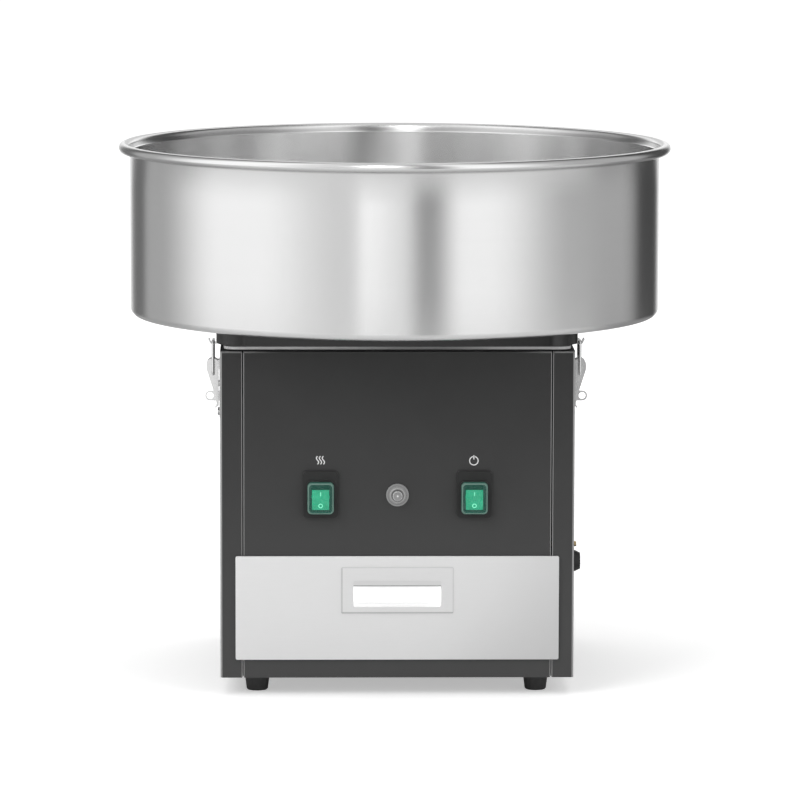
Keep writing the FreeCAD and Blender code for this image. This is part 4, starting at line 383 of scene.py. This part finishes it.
def pull_steel():
    """The pull: a satin frame with painted shade along its edges, and a recess that is
    white as in the photograph, made by painted white and a painted glow, with painted
    shade under its top edge.
    """
    nodes = sheet_steel("pull_satin", (60.0, 900.0, 1500.0), shade=0.95, rough=0.33,
                        spread=0.01, bump=0.03)
    x, y, z = nodes.object_axes()
    deep = nodes.ramp(y, PULL_FACE + 0.0012, PULL_FACE + 0.003)
    low = nodes.ramp(z, RECESS_TOP - 0.0072, RECESS_TOP - 0.0094)
    within = nodes.both(nodes.ramp(z, RECESS_LOW - 0.0006, RECESS_LOW - 0.0004),
                        nodes.ramp(y, RECESS_BACK + 0.0006, RECESS_BACK + 0.0004))
    within = nodes.both(within, nodes.ramp(nodes.size(x), RECESS_HALF + 0.0006,
                                           RECESS_HALF + 0.0004))
    bright = nodes.both(nodes.both(deep, low), within)
    across = nodes.size(nodes.math("ADD", x, -0.0004))
    # Painted shade along the frame's sides and its lower and upper edges.
    nodes.blend(nodes.ramp(across, PULL_HALF - 0.0006, PULL_HALF), grey(0.72))
    nodes.blend(nodes.ramp(z, PULL_LOW + 0.0006, PULL_LOW), grey(0.62))
    nodes.blend(nodes.ramp(z, PULL_HIGH - 0.0005, PULL_HIGH), grey(0.8))
    # Painted shade: a band under the recess's top edge.
    nodes.blend(nodes.both(deep, nodes.inverse(low)), grey(0.3))
    # Painted light: the recess is painted white and glows, dimmer towards its bottom as
    # painted shade.
    nodes.blend(bright, grey(1.0))
    nodes.link(nodes.ramp(bright, 0.0, 1.0, SATIN_METALLIC, 0.0),
               nodes.shader.inputs["Metallic"])
    nodes.set(Emission_Color=(1, 1, 1, 1))
    glow = nodes.both(bright, nodes.ramp(z, RECESS_LOW, RECESS_LOW + 0.004, 0.15, 0.5))
    nodes.link(glow, nodes.shader.inputs["Emission Strength"])
    return nodes


def ringed(name, shade, rings, rough=0.3):
    """Turned metal round the breaker's axis, with rings of painted shade and painted
    highlight, and a painted highlight on its bends.
    """
    nodes = coated(name, grey(shade), rough, metallic=0.6, edge_highlight=min(1.0, shade * 1.9))
    x, y, z = nodes.object_axes()
    reach = nodes.reach(x, nodes.math("SUBTRACT", z, BREAKER_HEIGHT))
    for radius, half, tone in rings:
        near = nodes.size(nodes.math("SUBTRACT", reach, radius))
        nodes.blend(nodes.ramp(near, half, half * 0.3), grey(tone))
    return nodes


def clear_boot():
    """A clear flexible boot, faintly green and scuffed, with a painted glow and a painted
    highlight along its edges.
    """
    nodes = Nodes("boot_clear")
    haze = nodes.noise(nodes.coords((1, 1, 1)), 260.0, detail=3.0)
    nodes.tint(haze, (0.62, 0.72, 0.68), (0.78, 0.86, 0.83))
    nodes.link(nodes.span(haze, 0.04, 0.1), nodes.shader.inputs["Roughness"])
    # Painted light: the faint green emission is a painted glow.
    nodes.set(IOR=1.2, Emission_Color=(0.022, 0.1, 0.075, 1), Emission_Strength=0.35)
    # Painted highlight: the bends are made less clear and painted grey-green as a light
    # outline.
    edge = nodes.ramp(nodes.bends(), 0.35, 1.0)
    nodes.link(nodes.ramp(edge, 0.1, 0.9, 1.0, 0.4),
               nodes.shader.inputs["Transmission Weight"])
    nodes.blend(edge, (0.24, 0.34, 0.3))
    nodes.bump(haze, 0.03, 0.00005)
    return nodes


def lit_green():
    """The rocker: green, with a faint glow for the light that passes through it."""
    nodes = Nodes("rocker_green")
    cloud = nodes.noise(nodes.coords((1, 1, 1)), 120.0, detail=3.0)
    nodes.tint(cloud, (0.008, 0.36, 0.19), (0.02, 0.48, 0.27))
    nodes.set(Roughness=0.25, Coat_Weight=0.3)
    nodes.set(Emission_Color=(0.01, 0.38, 0.2, 1), Emission_Strength=0.35)
    nodes.bump(cloud, 0.05, 0.00005)
    return nodes


# Slot, how its grain is stretched, shade and roughness.
METALS = [
    ("inner_zinc", (300.0, 300.0, 300.0), 0.5, 0.42),
    ("latch_steel", (900.0, 900.0, 120.0), 0.9, 0.2),
    ("shaft_steel", (60.0, 60.0, 2000.0), 0.6, 0.2),
    ("head_aluminium", (500.0, 500.0, 500.0), 0.8, 0.3),
    ("screen_steel", (60.0, 60.0, 1800.0), 0.66, 0.3),
    ("screw_steel", (700.0, 700.0, 700.0), 0.62, 0.25),
]

# Slot, colour, roughness, then what else differs from a plain coat.
COATS = [
    ("frame_gloss", grey(0.016), 0.12, {"bump": 0.03}),
    ("foot_rubber", grey(0.062), 0.7, {"bump": 0.4}),
    # The switch's bends are painted lighter as a painted highlight.
    ("switch_black", grey(0.022), 0.36, {"edge_highlight": 0.1, "shine": 0.35}),
    ("gland_black", grey(0.02), 0.45, {}),
    ("motor_grey", grey(0.14), 0.5, {"bump": 0.5}),
    ("heater_metal", (0.06, 0.052, 0.048), 0.6, {"metallic": 0.7}),
    ("insulator", (0.12, 0.05, 0.025), 0.55, {}),
    ("carbon", grey(0.02), 0.6, {}),
]

# Each ring's radius, half width and shade. The button's ring at radius 0 is a painted
# highlight spot; the nut's rings are painted shade and painted highlight at its steps.
BUTTON_RINGS = [(0.0, 0.0012, 1.0)]
NUT_RINGS = [(0.0087, 0.0005, 0.24), (0.0068, 0.0006, 0.6), (0.0052, 0.0006, 0.16)]


def make_materials():
    """One material for each slot of the record."""
    made = {
        "housing_paint": housing_paint(),
        "brushed_steel": drawer_steel(),
        "bowl_steel": spun_steel(),
        "pull_satin": pull_steel(),
        "plate_grey": plate_edge(),
        "boot_clear": clear_boot(),
        "rocker_green": lit_green(),
        "button_grey": ringed("button_grey", 0.36, BUTTON_RINGS, rough=0.2),
        "nut_grey": ringed("nut_grey", 0.36, NUT_RINGS),
        "brass": sheet_steel("brass", (800.0, 200.0, 800.0), warmth=(1.0, 0.76, 0.4)),
    }
    for slot, stretch, shade, rough in METALS:
        made[slot] = sheet_steel(slot, stretch, shade=shade, rough=rough)
    for slot, colour, rough, extra in COATS:
        made[slot] = coated(slot, colour, rough, **extra)
    return {slot: nodes.material for slot, nodes in made.items()}


def dress(materials):
    """Give each CAD node the material of its slot."""
    for row in frame["record"]["subparts"]:
        node = NODES[row["node"]]
        node.data.materials.clear()
        node.data.materials.append(materials[row["material_slot"]])


# ---- studio ------------------------------------------------------------------

FLOOR_HALF = 60.0
FLOOR_SHADE = 0.86
FLOOR_SHADE_MIRRORED = 0.6
FLOOR_GLOW_MIRRORED = 0.05
FLOOR_GLOW_NEAR = 0.42
FLOOR_GLOW_FAR = 0.75
WORLD_LIGHT = 0.5
WORLD_MIRRORED = 0.95

# Name, place, what it aims at, width and height in metres, and watts.
LAMPS = [
    ("key", (-2.4, -2.6, 2.6), (0, 0, 0.25), 2.2, 2.2, 60),
    ("fill", (2.6, -2.4, 1.8), (0, 0, 0.2), 2.0, 2.0, 26),
    ("overhead", (0, 0.2, 3.2), (0, 0, 0), 3.0, 3.0, 50),
]


def make_floor():
    """A floor whose shadow stays and whose open parts are white where they are seen.

    Mirrors show it darker, most of all behind the machine at its sides.
    """
    mesh = bpy.data.meshes.new("floor")
    corners = [(-FLOOR_HALF, -FLOOR_HALF, 0), (FLOOR_HALF, -FLOOR_HALF, 0),
               (FLOOR_HALF, FLOOR_HALF, 0), (-FLOOR_HALF, FLOOR_HALF, 0)]
    mesh.from_pydata(corners, [], [(0, 1, 2, 3)])
    floor = bpy.data.objects.new("floor", mesh)
    COLLECTION.objects.link(floor)
    nodes = Nodes("floor_white")
    nodes.set(Roughness=0.9, Specular_IOR_Level=0.0)
    path = nodes.add("ShaderNodeLightPath")
    x, y, z = nodes.axes("ShaderNodeNewGeometry", "Position")
    behind = nodes.ramp(y, -0.3, 0.3)
    sides = nodes.math("ADD", nodes.ramp(x, 0.25, 0.5, 0.0, 0.6),
                       nodes.ramp(x, -0.25, -0.5, 0.0, 0.45))
    kept = nodes.math("SUBTRACT", 1.0, nodes.both(behind, sides))
    darker = nodes.math("SUBTRACT", FLOOR_SHADE, nodes.both(kept, FLOOR_SHADE_MIRRORED))
    darker = nodes.both(darker, path.outputs["Is Glossy Ray"])
    nodes.link(nodes.math("SUBTRACT", FLOOR_SHADE, darker),
               nodes.shader.inputs["Base Color"])
    through = nodes.math("ADD", path.outputs["Is Camera Ray"],
                         path.outputs["Is Transmission Ray"], clamp=True)
    away = nodes.ramp(nodes.reach(x, y), 0.5, 2.6, FLOOR_GLOW_NEAR, FLOOR_GLOW_FAR)
    glow = nodes.both(through, away)
    mirrored = nodes.both(path.outputs["Is Glossy Ray"], FLOOR_GLOW_MIRRORED)
    nodes.set(Emission_Color=(1, 1, 1, 1))
    nodes.link(nodes.math("ADD", glow, mirrored), nodes.shader.inputs["Emission Strength"])
    mesh.materials.append(nodes.material)


def make_world():
    """White where it is seen, a little less in mirrors, and softer where it lights."""
    world = bpy.data.worlds.new("studio")
    bpy.context.scene.world = world
    world.use_nodes = True
    tree = world.node_tree
    tree.nodes.clear()
    out = tree.nodes.new("ShaderNodeOutputWorld")
    path = tree.nodes.new("ShaderNodeLightPath")
    last = tree.nodes.new("ShaderNodeBackground")
    last.inputs["Strength"].default_value = WORLD_LIGHT
    for ray, level in (("Is Glossy Ray", WORLD_MIRRORED), ("Is Transmission Ray", 1.0),
                       ("Is Camera Ray", 1.0)):
        shade = tree.nodes.new("ShaderNodeBackground")
        shade.inputs["Strength"].default_value = level
        mix = tree.nodes.new("ShaderNodeMixShader")
        tree.links.new(path.outputs[ray], mix.inputs["Fac"])
        tree.links.new(last.outputs[0], mix.inputs[1])
        tree.links.new(shade.outputs[0], mix.inputs[2])
        last = mix
    tree.links.new(last.outputs[0], out.inputs["Surface"])


def area_lamp(name, place, target, width, height, watts):
    """A soft lamp that mirrors do not show."""
    data = bpy.data.lights.new(name, "AREA")
    data.shape = "RECTANGLE"
    data.size = width
    data.size_y = height
    data.energy = watts
    lamp = bpy.data.objects.new(name, data)
    lamp.location = place
    aim = Vector(target) - Vector(place)
    lamp.rotation_mode = "QUATERNION"
    lamp.rotation_quaternion = aim.to_track_quat("-Z", "Y")
    lamp.visible_glossy = False
    COLLECTION.objects.link(lamp)


CARD_DISTANCE = 1.7
CARD_STEP = 0.01
CARD_TALL = 5.0

# Name, then four azimuths in degrees from the front towards the right, as the
# bowl mirrors them: where the card starts, is full, is full no more and ends.
# Then how bright it is, where white is 1. Each stands one step nearer than the
# card before it and covers it.
CARDS = [
    ("left_side", -174, -157, -124, -82, 0.39),
    ("rear_left", -171, -152, -144, -136, 0.14),
    ("left_front", -62, -22, -20, -13, 0.65),
    ("middle", -16, -5, 4, 30, 0.81),
    ("slit", 2, 12, 14, 28, 0.2),
    ("right_front", 38, 82, 118, 150, 0.41),
    ("rear_right", 116, 134, 155, 171, 0.06),
]
# The last card, with its low and high edge in metres: the bowl's inside mirrors it.
WINDOW = ("window", -17, -13, -4, 0, 3.4, 1.05, 2.4)
RING_DISTANCE = 1.78
RING_STEP = 2
RING_LEVEL = 1.06


def mirrored_place(azimuth):
    """Where on the ring of cards the bowl's outside mirrors this azimuth."""
    shift = math.asin(BOWL_RADIUS / CARD_DISTANCE * math.sin(azimuth / 2))
    return azimuth - shift


def card_cover(azimuth, start, full, last, end):
    """How much of a card is there: soft at both sides."""
    if azimuth < full:
        share = (azimuth - start) / (full - start)
    elif azimuth > last:
        share = (end - azimuth) / (end - last)
    else:
        share = 1.0
    share = min(max(share, 0.0), 1.0)
    return share * share * (3 - 2 * share)


def card_material(name, shade):
    """A glowing grey that fades out where its cover ends."""
    nodes = Nodes("card_" + name)
    nodes.tree.nodes.remove(nodes.shader)
    glow = nodes.add("ShaderNodeEmission", Strength=shade)
    clear = nodes.add("ShaderNodeBsdfTransparent")
    cover = nodes.add("ShaderNodeAttribute", attribute_name="cover")
    mix = nodes.add("ShaderNodeMixShader")
    nodes.link(cover.outputs["Fac"], mix.inputs["Fac"])
    nodes.link(clear.outputs[0], mix.inputs[1])
    nodes.link(glow.outputs[0], mix.inputs[2])
    nodes.link(mix.outputs[0], nodes.tree.nodes["Material Output"].inputs["Surface"])
    return nodes.material


def curved_card(name, distance, azimuths, cover, shade, low, high):
    """An upright strip bent round the machine that only mirrors see."""
    mesh = bpy.data.meshes.new("card_" + name)
    verts = []
    for azimuth in azimuths:
        angle = mirrored_place(math.radians(azimuth))
        x = distance * math.sin(angle)
        y = -distance * math.cos(angle)
        verts += [(x, y, low), (x, y, high)]
    faces = [(n, n + 2, n + 3, n + 1) for n in range(0, len(verts) - 2, 2)]
    mesh.from_pydata(verts, [], faces)
    both = [value for value in cover for side in range(2)]
    mesh.attributes.new("cover", "FLOAT", "POINT").data.foreach_set("value", both)
    card = bpy.data.objects.new("card_" + name, mesh)
    COLLECTION.objects.link(card)
    mesh.materials.append(card_material(name, shade))
    card.visible_camera = False
    card.visible_shadow = False
    card.visible_diffuse = False


def make_cards():
    """A pale ring round the machine, and soft grey cards in front of it."""
    azimuths = list(range(-180, 181, RING_STEP))
    curved_card("ring", RING_DISTANCE, azimuths, [1.0] * len(azimuths), RING_LEVEL,
                0.0, CARD_TALL)
    distance = CARD_DISTANCE
    rows = [row + (0.0, CARD_TALL) for row in CARDS] + [WINDOW]
    for name, start, full, last, end, shade, low, high in rows:
        azimuths = list(range(start, end + 1))
        cover = [card_cover(azimuth, start, full, last, end) for azimuth in azimuths]
        curved_card(name, distance, azimuths, cover, shade, low, high)
        distance -= CARD_STEP


def make_studio():
    """The floor, the world, the cards and the lamps."""
    make_floor()
    make_world()
    make_cards()
    for row in LAMPS:
        area_lamp(*row)


# ---- turned pieces -----------------------------------------------------------

TURNS = 192

# The bowl's profile in metres, as the CAD has it. Centres are (radius, height).
BOWL_HUB = 0.05
BOWL_BASE = 0.338
BOWL_SHEET = 0.001
WALL_OUTER = 0.2494
WALL_INNER = 0.2484
WALL_STEPS = (0.38, 0.42, 0.46)
CORNER_CENTRE = (0.2429, 0.3445)
CORNER_OUTER = 0.0065
CORNER_INNER = 0.0055
BEAD_CENTRE = (0.2553, 0.4953)
BEAD_RADIUS = 0.0047
BEAD_START = 202.3
BEAD_END = 541.5
BEAD_INSIDE = 0.4916


def lathe(name, profile):
    """A closed profile of (radius, height) turned round the Z axis."""
    mesh = bpy.data.meshes.new(name)
    verts = []
    for number in range(TURNS):
        angle = 2 * math.pi * number / TURNS
        for radius, height in profile:
            verts.append((radius * math.cos(angle), radius * math.sin(angle), height))
    count = len(profile)
    faces = []
    for number in range(TURNS):
        here = number * count
        there = ((number + 1) % TURNS) * count
        for step in range(count):
            after = (step + 1) % count
            faces.append((here + step, there + step, there + after, here + after))
    mesh.from_pydata(verts, [], faces)
    return mesh


def arc(centre, radius, start, end, steps):
    """Points of an arc in a plane, angles in degrees, both ends included."""
    points = []
    for number in range(steps + 1):
        angle = math.radians(start + (end - start) * number / steps)
        points.append((centre[0] + radius * math.cos(angle),
                       centre[1] + radius * math.sin(angle)))
    return points


def make_object(name, mesh, material, body):
    """A piece that moves with one body."""
    thing = bpy.data.objects.new(name, mesh)
    COLLECTION.objects.link(thing)
    mesh.materials.append(material)
    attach(thing, body)
    return thing


def make_bowl(material):
    """The spun bowl again, finely turned, so that it mirrors without facets."""
    profile = [(BOWL_HUB, BOWL_BASE)]
    profile += arc(CORNER_CENTRE, CORNER_OUTER, -90, 0, 8)
    profile += [(WALL_OUTER, z) for z in WALL_STEPS + (BEAD_LOW,)]
    profile += arc(BEAD_CENTRE, BEAD_RADIUS, BEAD_START, BEAD_END, 36)
    profile += [(WALL_INNER, z) for z in (BEAD_INSIDE,) + WALL_STEPS[::-1]]
    profile += arc(CORNER_CENTRE, CORNER_INNER, 0, -90, 8)
    profile += [(BOWL_HUB, BOWL_BASE + BOWL_SHEET)]
    bowl = make_object("bowl_spun", lathe("bowl_spun", profile), material, "housing")
    smooth(bowl.data)
    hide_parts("bowl")


def smooth(mesh, degrees=30):
    """Soft shading, with edges sharper than an angle kept."""
    for face in mesh.polygons:
        face.use_smooth = True
    mesh.set_sharp_from_angle(angle=math.radians(degrees))


def smooth_cad():
    """Soft shading on the round faces of the CAD nodes."""
    for node in NODES.values():
        smooth(node.data)


# ---- marks on the front ------------------------------------------------------

# All in metres: places are (x, z) of a mark's middle.
MARK_PROUD = 0.00012
MARK_SPECKS = 900.0
HEAT_MIDDLE = (-0.07085, 0.21905)
HEAT_TALL = 0.0075
HEAT_STEP = 0.0027
HEAT_SWING = 0.00105
HEAT_POINTS = 24
POWER_MIDDLE = (0.0702, 0.2185)
POWER_RADIUS = 0.0039
POWER_POINTS = 48
POWER_START = 102
POWER_END = 438
POWER_BAR = (0.0051, 0.0012)
SYMBOL_WIDTH = 0.001
ROCKERS = [("heat_rocker", -0.0707), ("power_rocker", 0.0707)]
ROCKER_RING_HEIGHT = 0.1776
ROCKER_RING_RADIUS = 0.0017
ROCKER_RING_POINTS = 24
ROCKER_LINE = (0.1905, 0.1868)
ROCKER_MARK_WIDTH = 0.0009


def mark_material(name, dark, light, **values):
    """Printed or moulded lettering, a little uneven."""
    nodes = Nodes(name)
    speck = nodes.noise(nodes.coords((1, 1, 1)), MARK_SPECKS)
    nodes.tint(speck, dark, light)
    nodes.set(**values)
    return nodes.material


def stroke(name, lines, width, depth, material, body):
    """Marks as thin raised strips along lines of points in the XZ plane."""
    curve = bpy.data.curves.new(name, "CURVE")
    curve.dimensions = "3D"
    curve.bevel_depth = width / 2
    curve.bevel_resolution = 3
    curve.use_fill_caps = True
    for points, closed in lines:
        spline = curve.splines.new("POLY")
        spline.points.add(len(points) - 1)
        for point, (x, z) in zip(spline.points, points):
            point.co = (x, 0, z, 1)
        spline.use_cyclic_u = closed
    thing = bpy.data.objects.new(name, curve)
    COLLECTION.objects.link(thing)
    graph = bpy.context.evaluated_depsgraph_get()
    mesh = bpy.data.meshes.new_from_object(thing.evaluated_get(graph))
    bpy.data.objects.remove(thing)
    for vertex in mesh.vertices:
        vertex.co.y = depth + vertex.co.y * MARK_PROUD / (width / 2)
    mesh.materials.clear()
    made = make_object(name, mesh, material, body)
    smooth(mesh, 60)
    return made


def make_marks():
    """The heat and power symbols on the panel."""
    white = mark_material("mark_white", grey(0.78), grey(0.86), Roughness=0.45)
    low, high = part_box("front_panel")
    depth = low.y - MARK_PROUD * 0.5
    middle_x, middle_z = HEAT_MIDDLE
    waves = []
    for number in (-1, 0, 1):
        points = []
        for step in range(HEAT_POINTS + 1):
            t = step / HEAT_POINTS
            swing = HEAT_SWING * math.sin(2 * math.pi * t)
            points.append((middle_x + number * HEAT_STEP - swing,
                           middle_z + (0.5 - t) * HEAT_TALL))
        waves.append((points, False))
    heat = stroke("heat_symbol", waves, SYMBOL_WIDTH, depth, white, "housing")
    ring = arc(POWER_MIDDLE, POWER_RADIUS, POWER_START, POWER_END, POWER_POINTS)
    ring_x, ring_z = POWER_MIDDLE
    bar = [(ring_x, ring_z + rise) for rise in POWER_BAR]
    power = stroke("power_symbol", [(ring, False), (bar, False)], SYMBOL_WIDTH, depth,
                   white, "housing")


def lay_on(mesh, node):
    """Move flat marks onto the front of a CAD node, along Y."""
    tree = BVHTree.FromPolygons([vertex.co for vertex in node.data.vertices],
                                [face.vertices for face in node.data.polygons])
    for vertex in mesh.vertices:
        start = Vector((vertex.co.x, -1.0, vertex.co.z))
        hit = tree.ray_cast(start, Vector((0, 1, 0)))[0]
        if hit:
            vertex.co.y += hit.y


def make_rocker_marks():
    """I and O on each rocker, in a paler green."""
    # Painted light: the green marks glow with an emission.
    green = mark_material("mark_green", (0.3, 0.8, 0.6), (0.34, 0.86, 0.66), Roughness=0.4,
                          Emission_Color=(0.2, 0.8, 0.55, 1), Emission_Strength=0.7)
    for body, middle in ROCKERS:
        ring = arc((middle, ROCKER_RING_HEIGHT), ROCKER_RING_RADIUS, 0, 360,
                   ROCKER_RING_POINTS)[:-1]
        line = [(middle, height) for height in ROCKER_LINE]
        mark = stroke(body + "_marks", [(ring, True), (line, False)], ROCKER_MARK_WIDTH,
                      0.0, green, body)
        lay_on(mark.data, NODES[body])


# ---- small forms that the CAD leaves out -------------------------------------

# In metres. The ends keep clear of the bend outside and of the seam inside.
HEM_RADIUS = 0.0007
HEM_IN = 0.0003
HEM_DOWN = 0.0006
HEM_STEPS = 16
HEM_OUTER_END = 0.0012
HEM_SEAM_END = 0.0011


def make_hems(material):
    """The folded hems along the top of the front panel and the side panels' flanges."""
    low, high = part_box("front_panel")
    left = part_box("left_side_panel")
    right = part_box("right_side_panel")
    spans = [("front", low.x, high.x),
             ("left", left[0].x + HEM_OUTER_END, left[1].x - HEM_SEAM_END),
             ("right", right[0].x + HEM_SEAM_END, right[1].x - HEM_OUTER_END)]
    for name, start, end in spans:
        verts = []
        for x in (start, end):
            for step in range(HEM_STEPS):
                angle = 2 * math.pi * step / HEM_STEPS
                verts.append((x, low.y + HEM_IN - HEM_RADIUS * math.cos(angle),
                              high.z - HEM_DOWN + HEM_RADIUS * math.sin(angle)))
        faces = [tuple(range(HEM_STEPS)),
                 tuple(reversed(range(HEM_STEPS, 2 * HEM_STEPS)))]
        for step in range(HEM_STEPS):
            after = (step + 1) % HEM_STEPS
            faces.append((step, step + HEM_STEPS, after + HEM_STEPS, after))
        mesh = bpy.data.meshes.new(name + "_hem")
        mesh.from_pydata(verts, [], faces)
        piece = make_object(name + "_hem", mesh, material, "housing")
        smooth(mesh)


# ---- the whole scene ---------------------------------------------------------


make_camera()
MATERIALS = make_materials()
dress(MATERIALS)
smooth_cad()
make_marks()
make_rocker_marks()
make_bowl(MATERIALS["bowl_steel"])
make_hems(MATERIALS["housing_paint"])
make_studio()
bpy.context.scene.view_settings.view_transform = "Standard"
